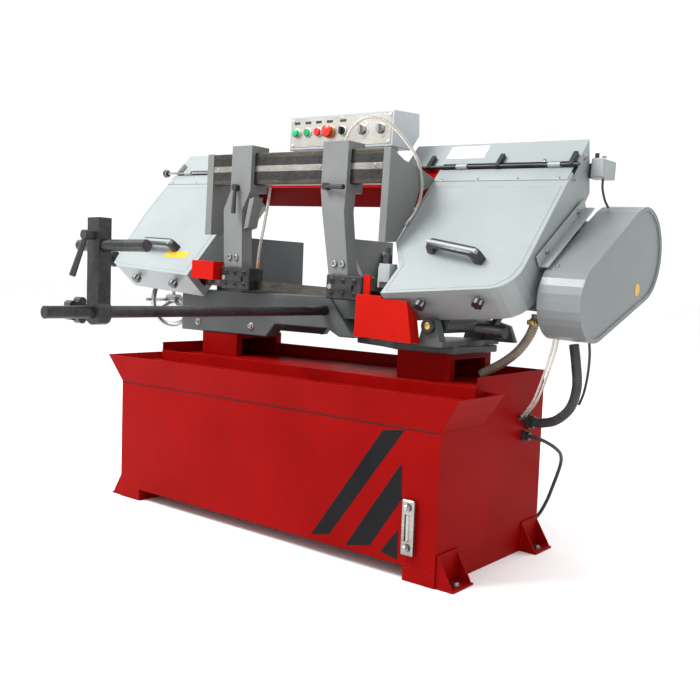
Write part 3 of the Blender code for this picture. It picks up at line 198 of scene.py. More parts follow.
def finish_surface(nodes, links, shader, height, strength, distance, radius):
    """Bump on top of rounded-edge normals."""
    bevel = nodes.new("ShaderNodeBevel")
    bevel.samples = 4
    bevel.inputs["Radius"].default_value = radius
    bump = nodes.new("ShaderNodeBump")
    bump.inputs["Strength"].default_value = strength
    bump.inputs["Distance"].default_value = distance
    links.new(height, bump.inputs["Height"])
    links.new(bevel.outputs["Normal"], bump.inputs["Normal"])
    links.new(bump.outputs["Normal"], shader.inputs["Normal"])


def enamel(name, dark, light, edge_highlight_colour, rough, coat, grain=900.0, strength=0.10, specular=0.5):
    """Sprayed enamel: slight colour drift, orange peel and a painted highlight on its edges."""
    mat, nodes, links, shader = new_material(name)
    drift = noise(nodes, links, 5.0, 5.0)
    colour = ramp(nodes, links, drift, [(0.3, dark), (0.7, light)])
    links.new(painted_edge_highlight(nodes, links, colour, edge_highlight_colour, 0.45), shader.inputs["Base Color"])
    links.new(spread(nodes, links, noise(nodes, links, 40.0), rough - 0.05, rough + 0.07),
              shader.inputs["Roughness"])
    shader.inputs["Coat Weight"].default_value = coat
    shader.inputs["Coat Roughness"].default_value = 0.12
    shader.inputs["Specular IOR Level"].default_value = specular
    finish_surface(nodes, links, shader, noise(nodes, links, grain, 2.0), strength, 0.0006, 0.0018)
    return mat


def metal(name, dark, light, rough, grain=(1, 1, 1), scale=60.0, metallic=1.0, strength=0.12):
    """Bare or blackened metal with directional grain and oily patches."""
    mat, nodes, links, shader = new_material(name)
    streaks = noise(nodes, links, scale, 6.0, 0.65, grain)
    patches = noise(nodes, links, 9.0, 4.0)
    mix = nodes.new("ShaderNodeMath")
    mix.operation = "MULTIPLY_ADD"
    links.new(streaks, mix.inputs[0])
    mix.inputs[1].default_value = 0.5
    half = nodes.new("ShaderNodeMath")
    half.operation = "MULTIPLY"
    half.inputs[1].default_value = 0.5
    links.new(patches, half.inputs[0])
    links.new(half.outputs[0], mix.inputs[2])
    links.new(ramp(nodes, links, mix.outputs[0], [(0.35, dark), (0.65, light)]),
              shader.inputs["Base Color"])
    links.new(spread(nodes, links, streaks, rough - 0.08, rough + 0.10), shader.inputs["Roughness"])
    shader.inputs["Metallic"].default_value = metallic
    finish_surface(nodes, links, shader, streaks, strength, 0.0004, 0.0010)
    return mat


def plastic(name, dark, light, rough, strength=0.08):
    """Moulded plastic or rubber with a fine grained skin."""
    mat, nodes, links, shader = new_material(name)
    links.new(ramp(nodes, links, noise(nodes, links, 30.0), [(0.3, dark), (0.7, light)]),
              shader.inputs["Base Color"])
    links.new(spread(nodes, links, noise(nodes, links, 120.0), rough - 0.05, rough + 0.08),
              shader.inputs["Roughness"])
    finish_surface(nodes, links, shader, noise(nodes, links, 1500.0, 2.0), strength, 0.0004, 0.0010)
    return mat


def clear_plastic(name, colour, transmission, rough):
    mat, nodes, links, shader = new_material(name)
    links.new(ramp(nodes, links, noise(nodes, links, 60.0),
                   [(0.3, tuple(c * 0.85 for c in colour)), (0.7, colour)]),
              shader.inputs["Base Color"])
    shader.inputs["Transmission Weight"].default_value = transmission
    shader.inputs["Roughness"].default_value = rough
    shader.inputs["IOR"].default_value = 1.45
    return mat


def make_materials():
    # the third colour given to each enamel is its painted edge highlight
    return {
        "red_paint": enamel("red_enamel", (0.185, 0.0012, 0.001), (0.225, 0.0022, 0.002),
                            (0.42, 0.02, 0.012),
                            0.42, 0.0, 260.0, 0.04, specular=0.03),
        # painted light: a brighter copy of the red enamel for the guards, whose faces catch strong light
        "lit_guard_red": enamel("lit_red_enamel", (0.36, 0.006, 0.003), (0.42, 0.009, 0.005),
                            (0.60, 0.04, 0.02),
                            0.42, 0.0, 260.0, 0.04, specular=0.04),
        "grey_paint": enamel("light_grey_enamel", (0.235, 0.262, 0.266), (0.262, 0.290, 0.293),
                             (0.46, 0.49, 0.49),
                             0.36, 0.10, 500.0, 0.10, specular=0.32),
        # painted shade: a darker copy of the grey enamel for the belt guard, whose face lies in shade
        "shaded_guard_grey": enamel("belt_guard_shade_enamel", (0.148, 0.165, 0.168), (0.168, 0.186, 0.188),
                             (0.34, 0.36, 0.36),
                             0.36, 0.10, 500.0, 0.08, specular=0.3),
        "pale_paint": enamel("pale_grey_enamel", (0.34, 0.375, 0.40), (0.38, 0.415, 0.44),
                             (0.56, 0.58, 0.60),
                             0.40, 0.10, 500.0, 0.10, specular=0.3),
        "casting": enamel("mid_grey_enamel", (0.125, 0.132, 0.130), (0.155, 0.163, 0.160),
                          (0.30, 0.31, 0.31),
                          0.48, 0.05, 260.0, 0.25, specular=0.28),
        # painted shade: a darker copy of the casting enamel for the low parts that lie in shade
        "shaded_casting": enamel("casting_shade_enamel", (0.060, 0.068, 0.070), (0.080, 0.090, 0.092),
                               (0.19, 0.20, 0.20),
                               0.50, 0.05, 260.0, 0.25, specular=0.22),
        "steel": metal("bare_steel", (0.20, 0.185, 0.17), (0.52, 0.50, 0.47), 0.34, (1, 14, 14), 30.0),
        "dark_steel": metal("oiled_steel", (0.050, 0.045, 0.038), (0.15, 0.135, 0.115), 0.32,
                            (1, 14, 14), 30.0),
        "black_steel": metal("black_oxide", (0.012, 0.012, 0.013), (0.05, 0.05, 0.052), 0.38, (1, 1, 1),
                             90.0, 0.6),
        "black_plastic": plastic("black_plastic", (0.010, 0.010, 0.011), (0.022, 0.022, 0.023), 0.36),
        "panel": metal("brushed_stainless", (0.42, 0.40, 0.36), (0.62, 0.60, 0.55), 0.33, (1, 30, 30),
                       40.0),
        "green_plastic": plastic("green_plastic", (0.002, 0.20, 0.055), (0.004, 0.30, 0.09), 0.25),
        "red_plastic": plastic("red_plastic", (0.50, 0.012, 0.006), (0.66, 0.022, 0.012), 0.25),
        "rubber": plastic("black_rubber", (0.010, 0.010, 0.010), (0.028, 0.028, 0.028), 0.50, 0.2),
        "bolt": metal("zinc_bolts", (0.22, 0.22, 0.22), (0.50, 0.50, 0.49), 0.28, (1, 1, 1), 200.0),
        "brass": metal("brass", (0.40, 0.24, 0.07), (0.70, 0.47, 0.17), 0.30, (1, 1, 1), 150.0),
        "black_paint": enamel("black_stripe", (0.006, 0.006, 0.007), (0.012, 0.012, 0.013),
                              (0.05, 0.05, 0.05), 0.40, 0.0,
                              specular=0.05),
        "tube": clear_plastic("clear_tube", (0.74, 0.70, 0.64), 0.72, 0.18),
        "hose": plastic("drain_hose_wall", (0.15, 0.125, 0.09), (0.27, 0.235, 0.18), 0.40),
        "gauge": clear_plastic("gauge_glass", (0.75, 0.78, 0.72), 0.6, 0.08),
        "yellow": plastic("yellow_film", (0.55, 0.30, 0.01), (0.62, 0.35, 0.02), 0.35),
        "white": plastic("white_film", (0.66, 0.67, 0.68), (0.76, 0.77, 0.78), 0.32),
        "lens": clear_plastic("green_lens", (0.05, 0.62, 0.22), 0.35, 0.15),
        "scale_light": metal("scale_strip", (0.46, 0.44, 0.40), (0.66, 0.64, 0.60), 0.30, (20, 1, 1),
                             60.0),
    }


# ---------------------------------------------------------------- mesh helpers
def piece(name, bm, mat, body, place=None, smooth=35, bevel=0.0):
    """Finish a bmesh as a piece that rides on a body."""
    bm.normal_update()
    bmesh.ops.recalc_face_normals(bm, faces=bm.faces)
    if bevel:
        sharp = [e for e in bm.edges if e.is_manifold and e.calc_face_angle() > math.radians(40)]
        bmesh.ops.bevel(bm, geom=sharp, offset=bevel, segments=2, profile=0.6, affect="EDGES",
                        clamp_overlap=True)
    mesh = bpy.data.meshes.new(name)
    bm.to_mesh(mesh)
    bm.free()
    if place is not None:
        mesh.transform(place)
    mesh.shade_smooth()
    mesh.set_sharp_from_angle(angle=math.radians(smooth))
    mesh.materials.append(MATS[mat])
    obj = bpy.data.objects.new(name, mesh)
    bpy.context.collection.objects.link(obj)
    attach(obj, body)
    return obj


def add_rod(bm, start, end, radius, sides=24, far=None):
    start, end = Vector(start), Vector(end)
    turn = (end - start).to_track_quat("Z", "Y").to_matrix().to_4x4()
    matrix = Matrix.Translation((start + end) / 2) @ turn
    bmesh.ops.create_cone(bm, cap_ends=True, segments=sides, radius1=radius,
                          radius2=radius if far is None else far,
                          depth=(end - start).length, matrix=matrix)


def add_box(bm, lo, hi):
    lo, hi = Vector(lo), Vector(hi)
    matrix = Matrix.Translation((lo + hi) / 2) @ Matrix.Diagonal((*(hi - lo), 1.0))
    bmesh.ops.create_cube(bm, size=1.0, matrix=matrix)


def add_lathe(bm, profile, matrix, sides=32):
    """Spin an open (radius, height) profile about Z; both ends close on the axis or are capped."""
    rings = []
    for radius, height in profile:
        ring = []
        for i in range(sides):
            a = 2 * math.pi * i / sides
            ring.append(bm.verts.new(matrix @ Vector((radius * math.cos(a), radius * math.sin(a),
                                                      height))))
        rings.append(ring)
    for low, high in zip(rings, rings[1:]):
        for i in range(sides):
            j = (i + 1) % sides
            bm.faces.new((low[i], low[j], high[j], high[i]))
    bm.faces.new(rings[0])
    bm.faces.new(rings[-1])


def add_plate(bm, outline, axis_map, low, high):
    """A polygon given by 2-D points, lifted between two levels by axis_map(a, b, level)."""
    rings = [[bm.verts.new(axis_map(a, b, level)) for a, b in outline] for level in (low, high)]
    bm.faces.new(rings[0])
    bm.faces.new(rings[1])
    for i in range(len(outline)):
        j = (i + 1) % len(outline)
        bm.faces.new((rings[0][i], rings[0][j], rings[1][j], rings[1][i]))


def facing(normal, point):
    """A matrix that lays +Z along normal at point."""
    turn = Vector(normal).to_track_quat("Z", "Y").to_matrix().to_4x4()
    return Matrix.Translation(point) @ turn


def add_cap_screw(bm, point, normal, radius):
    """A socket cap screw on a washer."""
    at = facing(normal, point)
    washer = [(radius * 1.45, 0.0), (radius * 1.45, radius * 0.22), (radius * 1.30, radius * 0.30),
              (radius * 0.98, radius * 0.30)]
    head = [(radius, radius * 0.95), (radius * 0.90, radius * 1.08), (radius * 0.52, radius * 1.08),
            (radius * 0.50, radius * 0.60), (radius * 0.02, radius * 0.58)]
    add_lathe(bm, washer + head, at, 18)


def add_hex_bolt(bm, point, normal, radius):
    """A hexagon head on a washer."""
    at = facing(normal, point)
    add_lathe(bm, [(radius * 1.4, 0.0), (radius * 1.4, radius * 0.25), (radius * 0.5, radius * 0.26)],
              at, 20)
    add_lathe(bm, [(radius, radius * 0.2), (radius, radius * 0.75), (radius * 0.82, radius * 0.88),
                   (radius * 0.05, radius * 0.88)], at, 6)


def smooth_path(points, step):
    """A Catmull-Rom curve through the points, sampled at about one step."""
    pts = [Vector(p) for p in points]
    pts = [2 * pts[0] - pts[1]] + pts + [2 * pts[-1] - pts[-2]]
    path = []
    for i in range(1, len(pts) - 2):
        p0, p1, p2, p3 = pts[i - 1:i + 3]
        count = max(1, round((p2 - p1).length / step))
        for k in range(count):
            t = k / count
            path.append(0.5 * (2 * p1 + (p2 - p0) * t + (2 * p0 - 5 * p1 + 4 * p2 - p3) * t * t
                               + (3 * p1 - p0 - 3 * p2 + p3) * t * t * t))
    path.append(pts[-2])
    return path


def add_tube(bm, points, radius, step, sides=12, rib=0.0, rib_every=2):
    """A tube along a smooth path; rib swells every few rings, as on a corrugated hose."""
    path = smooth_path(points, step)
    rings = []
    side = (path[1] - path[0]).orthogonal().normalized()
    for i, point in enumerate(path):
        ahead = (path[min(i + 1, len(path) - 1)] - path[max(i - 1, 0)]).normalized()
        side = (side - ahead * side.dot(ahead)).normalized()
        up = ahead.cross(side)
        r = radius + (rib if i % rib_every else -rib)
        rings.append([bm.verts.new(point + (side * math.cos(a) + up * math.sin(a)) * r)
                      for a in (2 * math.pi * k / sides for k in range(sides))])
    bm.faces.new(rings[0])
    bm.faces.new(rings[-1])
    for low, high in zip(rings, rings[1:]):
        for k in range(sides):
            bm.faces.new((low[k], low[(k + 1) % sides], high[(k + 1) % sides], high[k]))


# ---------------------------------------------------------------- hoses and the mains cord
CONDUIT_ROUTE = [(1.331, 0.400, 0.570), (1.336, 0.408, 0.520), (1.338, 0.416, 0.460),
                 (1.322, 0.420, 0.405),
                 (1.285, 0.421, 0.368), (1.245, 0.421, 0.3545), (1.2232, 0.421, 0.354)]
DRAIN_ROUTE = [(1.222, 0.400, 0.640), (1.216, 0.400, 0.610), (1.200, 0.400, 0.575),
               (1.170, 0.400, 0.537),
               (1.130, 0.400, 0.506), (1.092, 0.400, 0.484), (1.064, 0.400, 0.4685)]
MAINS_ROUTE = [(1.2225, 0.398, 0.318), (1.240, 0.3985, 0.3172), (1.258, 0.403, 0.312),
               (1.272, 0.420, 0.301),
               (1.277, 0.448, 0.286), (1.272, 0.484, 0.267), (1.258, 0.520, 0.240), (1.236, 0.553,
                                                                                     0.203),
               (1.210, 0.580, 0.155), (1.184, 0.600, 0.103), (1.155, 0.613, 0.055), (1.122, 0.6205,
                                                                                     0.021),
               (1.085, 0.6235, 0.0075), (1.045, 0.6225, 0.0052), (1.005, 0.6180, 0.0051)]
CORD_D, COIL_R, COIL_TURNS, COIL_CENTRE = 0.010, 0.055, 5, (0.965, 0.6700)
PLUG_REACH, PLUG_Z = 0.125, 0.0190


def coil_points(per_turn):
    """Turns lying beside and on each other, wound from the floor upwards."""
    points = []
    for i in range(per_turn * COIL_TURNS + 1):
        turn = i / per_turn
        layer = min(int(turn), COIL_TURNS - 1)
        ease = max(0.0, (turn - layer) * 4 - 3) if layer < COIL_TURNS - 1 else 0.0
        radius = COIL_R + (0.0052 if layer % 2 else -0.0052)
        target = COIL_R + (0.0052 if (layer + 1) % 2 else -0.0052)
        radius += (target - radius) * ease
        angle = math.radians(-90) - 2 * math.pi * turn
        height = 0.0052 + 0.0052 * (layer + ease) * 1.72
        points.append((COIL_CENTRE[0] + radius * math.cos(angle),
                       COIL_CENTRE[1] + radius * math.sin(angle), height))
    x, y, z = points[-1]
    return points + [(x - 0.030, y, z - 0.005), (x - 0.065, y, z - 0.019), (x - 0.095, y, 0.0200),
                     (x - PLUG_REACH, y, PLUG_Z)]


def make_cord():
    bm = bmesh.new()
    route = MAINS_ROUTE + coil_points(12)
    add_tube(bm, route, CORD_D / 2, 0.010, 12)
    cord = piece("cord_mains", bm, "rubber", "machine", MACHINE)
    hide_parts("mains_cord")


def make_hoses():
    bm = bmesh.new()
    add_tube(bm, CONDUIT_ROUTE, 0.0126, 0.0035, 20, rib=0.0006, rib_every=2)
    conduit = piece("hose_motor_conduit", bm, "rubber", "machine", MACHINE)
    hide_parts("motor_conduit")
    bm = bmesh.new()
    add_tube(bm, DRAIN_ROUTE, 0.0122, 0.0040, 20, rib=0.0008, rib_every=2)
    drain = piece("hose_drain", bm, "hose", "machine", MACHINE)
    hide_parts("drain_hose")


def use_cad_materials():
    """Every carried-over CAD node takes the procedural material of its slot."""
    slots = {s["node"]: s["material_slot"] for s in frame["record"]["subparts"]}
    for node, slot in slots.items():
        obj = bpy.data.objects[node]
        finish = MATS[NODE_FINISH.get(node, slot)]
        for index in range(max(1, len(obj.material_slots))):
            if obj.material_slots:
                obj.material_slots[index].material = finish
            else:
                obj.data.materials.append(finish)


# CAD nodes whose finish isn't that of their material slot
FINISH_NODES = {
    "black_steel": ("stop_rod", "stop_bracket", "stop_pin", "hinge_pin", "right_hinge_rod"),
    "steel": ("level_gauge",),
    "bolt": ("left_hinge_rod", "speed_knob", "feed_knob", "vise_handwheel"),
    # the guards take the brighter, painted-light copy of the red enamel
    "lit_guard_red": ("left_guard", "right_guard"),
    "pale_paint": ("control_box",),
    "grey_paint": ("limit_switch", "left_cover", "left_housing", "right_housing"),
    "dark_steel": ("blade", "guide_beam"),
    # these take the darker, painted-shade copy of the casting enamel
    "shaded_casting": ("moving_jaw", "bed", "swivel_base", "swivel_turret", "gearbox", "motor"),
    "red_paint": ("coolant_tray", "skid_left", "skid_right", "bed_pedestal", "turret_pedestal"),
    # the belt guard takes the darker, painted-shade copy of the grey enamel
    "shaded_guard_grey": ("belt_guard",),
}
NODE_FINISH = {node: finish for finish, nodes in FINISH_NODES.items() for node in nodes}


# ---------------------------------------------------------------- cabinet details
def on_front(x, z, level):
    return MACHINE @ Vector((x, -level, z))


def make_stripes():
    """Three slanted stripes on the front panel, and a black strip painted as the shadow under the tray's
    overhanging flange.
    """
    shapes = [[(0.814, 0.049), (0.875, 0.062), (1.099, 0.363), (1.034, 0.354)],
              [(0.929, 0.045), (1.008, 0.063), (1.099, 0.196), (1.094, 0.283)],
              [(1.040, 0.055), (1.092, 0.045), (1.091, 0.121)]]
    bm = bmesh.new()
    for shape in shapes:
        add_plate(bm, shape, on_front, -0.0002, 0.0004)
    piece("front_stripes", bm, "black_paint", "machine")
    bm = bmesh.new()
    # painted shadow: a black strip where the tray's flange overhangs the front panel
    add_box(bm, (0.0020, -0.0010, 0.3660), (1.1980, 0.0004, 0.3684))
    piece("tray_shadow_strip", bm, "black_paint", "machine", MACHINE)


def make_gauge():
    """Glass tube, a black plate painted as the shade in the window recess, inner scale and two banjo
    bolts on the level gauge.
    """
    lo, hi = Vector(GAUGE[0]), Vector(GAUGE[1])
    mid = (lo + hi) / 2
    bm = bmesh.new()
    add_rod(bm, (mid.x, lo.y + 0.0095, lo.z + 0.036), (mid.x, lo.y + 0.0095, hi.z - 0.036), 0.0052, 20)
    piece("gauge_glass", bm, "gauge", "machine")
    bm = bmesh.new()
    add_box(bm, (mid.x + 0.0005, lo.y + 0.0150, lo.z + 0.036),
            (mid.x + 0.0070, lo.y + 0.0160, hi.z - 0.036))
    piece("gauge_back", bm, "white", "machine")
    bm = bmesh.new()
    # painted shade: a black plate for the darkness inside the gauge's window recess
    add_box(bm, (mid.x - 0.0078, lo.y + 0.0162, lo.z + 0.0345),
            (mid.x + 0.0078, lo.y + 0.0170, hi.z - 0.0345))
    piece("gauge_recess_shade", bm, "black_paint", "machine")
    bm = bmesh.new()
    for z in (lo.z + 0.018, hi.z - 0.018):
        add_hex_bolt(bm, (mid.x, lo.y - 0.0002, z), (0, -1, 0), 0.0070)
    piece("gauge_bolts", bm, "bolt", "machine")


def make_cabinet_fittings():
    """Bed screws, pedestal bolts and the bracket bolts."""
    bm = bmesh.new()
    bed_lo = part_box("bed")[0]
    for x in (bed_lo[0] + 0.085, bed_lo[0] + 0.340):
        add_cap_screw(bm, (x, bed_lo[1], bed_lo[2] + 0.030), (0, -1, 0), 0.0080)
    plate_lo, plate_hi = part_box("swivel_base")
    for x, y in ((plate_hi[0] - 0.020, plate_lo[1] + 0.018), (plate_hi[0] - 0.160, plate_lo[1] + 0.018),
                 (plate_hi[0] - 0.020, plate_hi[1] - 0.020)):
        add_hex_bolt(bm, (x, y, plate_hi[2]), (0, 0, 1), 0.0080)
    for side, lo_hi in ((-1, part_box("skid_left")), (1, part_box("skid_right"))):
        lo, hi = lo_hi
        edge = lo[0] + 0.022 if side < 0 else hi[0] - 0.022
        for y in (lo[1] + 0.049, hi[1] - 0.049):
            add_hex_bolt(bm, (edge, y, 0.0052), (0, 0, 1), 0.0085)
    piece("base_bolts", bm, "bolt", "machine")


def make_jaw_serrations():
    """Fine vertical teeth on the fixed jaw's clamping face."""
    for node, body, sign in (("fixed_jaw", "machine", -1),):
        lo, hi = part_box(node)
        face = lo[0] if sign < 0 else hi[0]
        bm = bmesh.new()
        pitch, count = 0.0062, int((hi[1] - lo[1] - 0.012) / 0.0062)
        for i in range(count):
            y = lo[1] + 0.007 + pitch * i
            outline = [(y, 0.0), (y + pitch * 0.86, 0.0), (y + pitch * 0.43, 0.0009)]
            add_plate(bm, outline, lambda a, b, level, f=face, s=sign: Vector((f + s * b, a, level)),
                      lo[2] + 0.012, hi[2] - 0.008)
        # the teeth take the painted-shade copy of the casting enamel
        piece(node + "_teeth", bm, "shaded_casting", body)


def make_screw_thread():
    """The helical thread on the vise screw outside the bed."""
    lo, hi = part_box("vise_handwheel")
    axis_y, axis_z = (lo[1] + hi[1]) / 2, JOINTS["vise_screw"]["pos_m"][2]
    start, end = lo[0] + 0.075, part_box("bed")[0][0] - 0.004
    lead, sides, core = 0.010, 20, 0.0108
    turns = int((end - start) / lead)
    bm = bmesh.new()
    rings = []
    for i in range(turns * sides + 1):
        a = 2 * math.pi * i / sides
        x = start + lead * i / sides
        radial = Vector((0, math.cos(a), math.sin(a)))
        centre = Vector((x, axis_y, axis_z))
        rings.append([bm.verts.new(centre + radial * core + Vector((-0.0028, 0, 0))),
                      bm.verts.new(centre + radial * (core + 0.0022) + Vector((-0.0010, 0, 0))),
                      bm.verts.new(centre + radial * (core + 0.0022) + Vector((0.0010, 0, 0))),
                      bm.verts.new(centre + radial * core + Vector((0.0028, 0, 0)))])
    for low, high in zip(rings, rings[1:]):
        for k in range(3):
            bm.faces.new((low[k], low[k + 1], high[k + 1], high[k]))
        bm.faces.new((low[3], low[0], high[0], high[3]))
    bm.faces.new(rings[0])
    bm.faces.new(rings[-1])
    piece("vise_thread", bm, "steel", "vise_wheel")


def make_rear_door():
    """A lift-off door with louvres and quarter-turn locks on the rear panel."""
    rear = CAB_HI[1] - BASE_Y
    door, louvres, locks = bmesh.new(), bmesh.new(), bmesh.new()
    add_box(door, (0.240, rear + 0.0002, 0.075), (0.760, rear + 0.0032, 0.345))
    for row in range(8):
        z = 0.130 + 0.020 * row
        profile = [(rear + 0.0030, z), (rear + 0.0078, z + 0.001), (rear + 0.0030, z + 0.011)]
        add_plate(louvres, profile, lambda a, b, level: Vector((level, a, b)), 0.380, 0.620)
    for x in (0.262, 0.738):
        for z in (0.098, 0.322):
            add_cap_screw(locks, (x, rear + 0.0032, z), (0, 1, 0), 0.0095)
    piece("rear_door", door, "red_paint", "machine", MACHINE, bevel=0.0010)
    piece("rear_louvres", louvres, "red_paint", "machine", MACHINE)
    piece("rear_locks", locks, "bolt", "machine", MACHINE)


# ---------------------------------------------------------------- covers and housings
def make_handles():
    """Broad black bridge handles over the plain CAD bars."""
    for body, p0, p1 in (("left_lid", (-0.211, -0.124), (-0.063, -0.126)),
                         ("right_lid", (0.964, -0.078), (1.116, -0.105))):
        a, b = Vector((*p0, COVER_W)), Vector((*p1, COVER_W))
        along = (b - a).normalized()
        across = Vector((-along.y, along.x, 0))
        length = (b - a).length
        half = [(-0.016, 0.0002), (-0.009, 0.026), (-0.001, 0.0365), (0.008, 0.0395)]
        under = [(0.020, 0.0262), (0.0125, 0.021), (0.009, 0.0002)]
        outline = half + [(length - t, w) for t, w in reversed(half)]
        outline += [(length - t, w) for t, w in reversed(under)] + under

        def on_bar(t, w, level, o=a, u=along, v=across):
            return o + u * t + v * level + Vector((0, 0, w))

        bm = bmesh.new()
        add_plate(bm, outline, on_bar, -0.0125, 0.0125)
        piece(body + "_handle", bm, "black_plastic", body, WHEEL_PLANE, bevel=0.0028)


def make_latch_knobs():
    """Black star knobs over the CAD studs that hold the lids' lower edges."""
    bm = bmesh.new()
    for x, v in ((-0.204, -0.2229), (-0.002, -0.2313), (0.985, -0.2222), (1.150, -0.1990)):
        add_rod(bm, (x, v - 0.0095, 0.030), (x, v - 0.0270, 0.030), 0.0125, 20, 0.0118)
        for i in range(6):
            angle = math.radians(60 * i)
            dx, dw = 0.0110 * math.cos(angle), 0.0110 * math.sin(angle)
            add_rod(bm, (x + dx, v - 0.0095, 0.030 + dw), (x + dx, v - 0.0268, 0.030 + dw), 0.0048, 12)
    piece("latch_knobs", bm, "black_plastic", "bow", WHEEL_PLANE)


def make_hinge_details():
    """A long folded leaf along each lid's top edge, its screws, and the rods' end knobs."""
    for body, x0, x1 in (("left_lid", -0.380, 0.081), ("right_lid", 0.826, 1.246)):
        leaf, screws = bmesh.new(), bmesh.new()
        add_box(leaf, (x0, 0.1935, COVER_W + 0.0003), (x1, HINGE_V - 0.0065, COVER_W + 0.0020))
        for share in (0.06, 0.35, 0.65, 0.94):
            add_cap_screw(screws, (x0 + share * (x1 - x0), 0.199, COVER_W + 0.0020), (0, 0, 1), 0.0024)
        piece(body + "_leaf", leaf, "grey_paint", body, WHEEL_PLANE, bevel=0.0005)
        piece(body + "_screws", screws, "bolt", body, WHEEL_PLANE)
    knobs = bmesh.new()
    for x, radius in ((-0.418, 0.0152), (0.722, 0.0102)):
        profile = [(radius * 0.7, 0.0), (radius, 0.003), (radius, 0.012), (radius * 0.8, 0.0165),
                   (radius * 0.1, 0.0172)]
        add_lathe(knobs, profile, Matrix.Translation((x + 0.0012, HINGE_V,
                                                      0.0705)) @ Matrix.Rotation(-math.pi / 2, 4,
                                                                                 "Y"), 24)
    piece("hinge_rod_knobs", knobs, "black_plastic", "bow", WHEEL_PLANE)


def make_housing_screws():
    """Rows of small screws along the hoods and on the right housing's end wall."""
    bm = bmesh.new()
    for x0, x1, count in ((-0.360, 0.060, 3), (0.780, 1.150, 2)):
        for i in range(count):
            x = x0 + (x1 - x0) * i / (count - 1)
            add_cap_screw(bm, (x, 0.272, COVER_W), (0, 0, 1), 0.0036)
    for v, w in ((0.300, 0.046), (0.216, 0.046)):
        add_cap_screw(bm, (1.250, v, w), (1, 0, 0), 0.0055)
    piece("housing_screws", bm, "bolt", "bow", WHEEL_PLANE)


def rounded_label(bm, centre, size, corner, matrix, low, high):
    """A thin plate with round corners, drawn in its own plane."""
    w, h = size[0] / 2 - corner, size[1] / 2 - corner
    outline = []
    for sx, sy, start in ((1, 1, 0), (-1, 1, 90), (-1, -1, 180), (1, -1, 270)):
        for k in range(5):
            a = math.radians(start + 22.5 * k)
            outline.append((centre[0] + sx * w + corner * math.cos(a),
                            centre[1] + sy * h + corner * math.sin(a)))
    add_plate(bm, outline, lambda a, b, level: matrix @ Vector((a, b, level)), low, high)


def make_labels():
    """Blank film labels: plain colours, with no words or signs."""
    flat = Matrix.Identity(4)
    film = (COVER_W + 0.0001, COVER_W + 0.0005)
    bm = bmesh.new()
    rounded_label(bm, (-0.040, -0.150), (0.112, 0.030), 0.003, flat, *film)
    piece("label_left_cover", bm, "yellow", "left_lid", WHEEL_PLANE)
    bm = bmesh.new()
    rounded_label(bm, (0.886, 0.316), (0.128, 0.052), 0.003, flat, *film)
    piece("label_hood", bm, "white", "bow", WHEEL_PLANE)
    bm = bmesh.new()
    add_lathe(bm, [(0.0165, 0.0), (0.0165, 0.0006), (0.0005, 0.0007)],
              facing(X_AXIS, BOW @ Vector((1.3862, 0.648, 0.728))), 28)
    piece("label_guard", bm, "yellow", "bow")


def make_cover_seams():
    """A raised pressed border just inside each lid's edge."""
    outlines = (("left_lid", [(-0.299, -0.219), (-0.335, -0.206), (-0.364, -0.083), (-0.382, 0.036),
                              (-0.382, 0.190),
                              (0.083, 0.190), (0.083, -0.235)]),
                ("right_lid", [(0.872, -0.238), (0.881, -0.139), (0.824, -0.053), (0.824, 0.190),
                               (1.250, 0.190),
                               (1.250, -0.115), (1.2378, -0.1574), (1.205, -0.187), (1.184, -0.1938)]))
    for body, outline in outlines:
        bm = bmesh.new()
        total = len(outline)
        centre = Vector((sum(p[0] for p in outline) / total, sum(p[1] for p in outline) / total))
        corners = [centre + (Vector(p) - centre) * 0.93 for p in outline]
        count = len(corners)
        for i in range(count):
            a, b = corners[i], corners[(i + 1) % count]
            add_rod(bm, (a.x, a.y, COVER_W), (b.x, b.y, COVER_W), 0.0011, 8)
        piece(body + "_border", bm, "grey_paint", body, WHEEL_PLANE)


# ---------------------------------------------------------------- bow details
def make_beam_details():
    """Two sunk dark bands with graduations, the light strip between them and its screws."""
    face, low, high = 0.250, 0.9755, 1.0715
    mid = (low + high) / 2
    strip, bands, marks, screws = (bmesh.new() for _ in range(4))
    add_box(strip, (0.114, face - 0.0012, mid - 0.0088), (0.798, face + 0.0002, mid + 0.0088))
    for side in (-1, 1):
        near, far = mid + side * 0.0105, mid + side * 0.0345
        add_box(bands, (0.114, face - 0.0005, min(near, far)), (0.798, face + 0.0002, max(near, far)))
        for i in range(66):
            x = 0.130 + 0.010 * i
            depth = 0.020 if i % 5 == 0 else 0.014
            ends = sorted((near + side * 0.001, near + side * depth))
            add_box(marks, (x - 0.0012, face - 0.0009, ends[0]), (x + 0.0012, face - 0.0004, ends[1]))
    for x in (0.134, 0.360, 0.570, 0.775):
        add_rod(screws, (x, face - 0.0010, mid), (x, face - 0.0038, mid), 0.0062, 20, 0.0040)
    piece("beam_strip", strip, "steel", "bow", BOW)
    piece("beam_bands", bands, "black_steel", "bow", BOW)
    piece("beam_marks", marks, "dark_steel", "bow", BOW)
    piece("beam_screws", screws, "bolt", "bow", BOW)


def make_blade_teeth():
    """Raked teeth along the upright stretch of the band."""
    bm = bmesh.new()
    pitch, x0, x1, y, low = 0.0064, 0.205, 0.775, 0.250, 0.651
    for i in range(int((x1 - x0) / pitch)):
        x = x0 + pitch * i
        outline = [(x, low + 0.0006), (x + pitch * 0.94, low + 0.0006), (x + pitch * 0.86, low - 0.0028)]
        set_y = y + (0.00025 if i % 2 else -0.00025)
        add_plate(bm, outline, lambda a, b, level, s=set_y: Vector((a, s + level, b)), -0.00045, 0.00045)
    piece("blade_teeth", bm, "dark_steel", "bow", BOW)


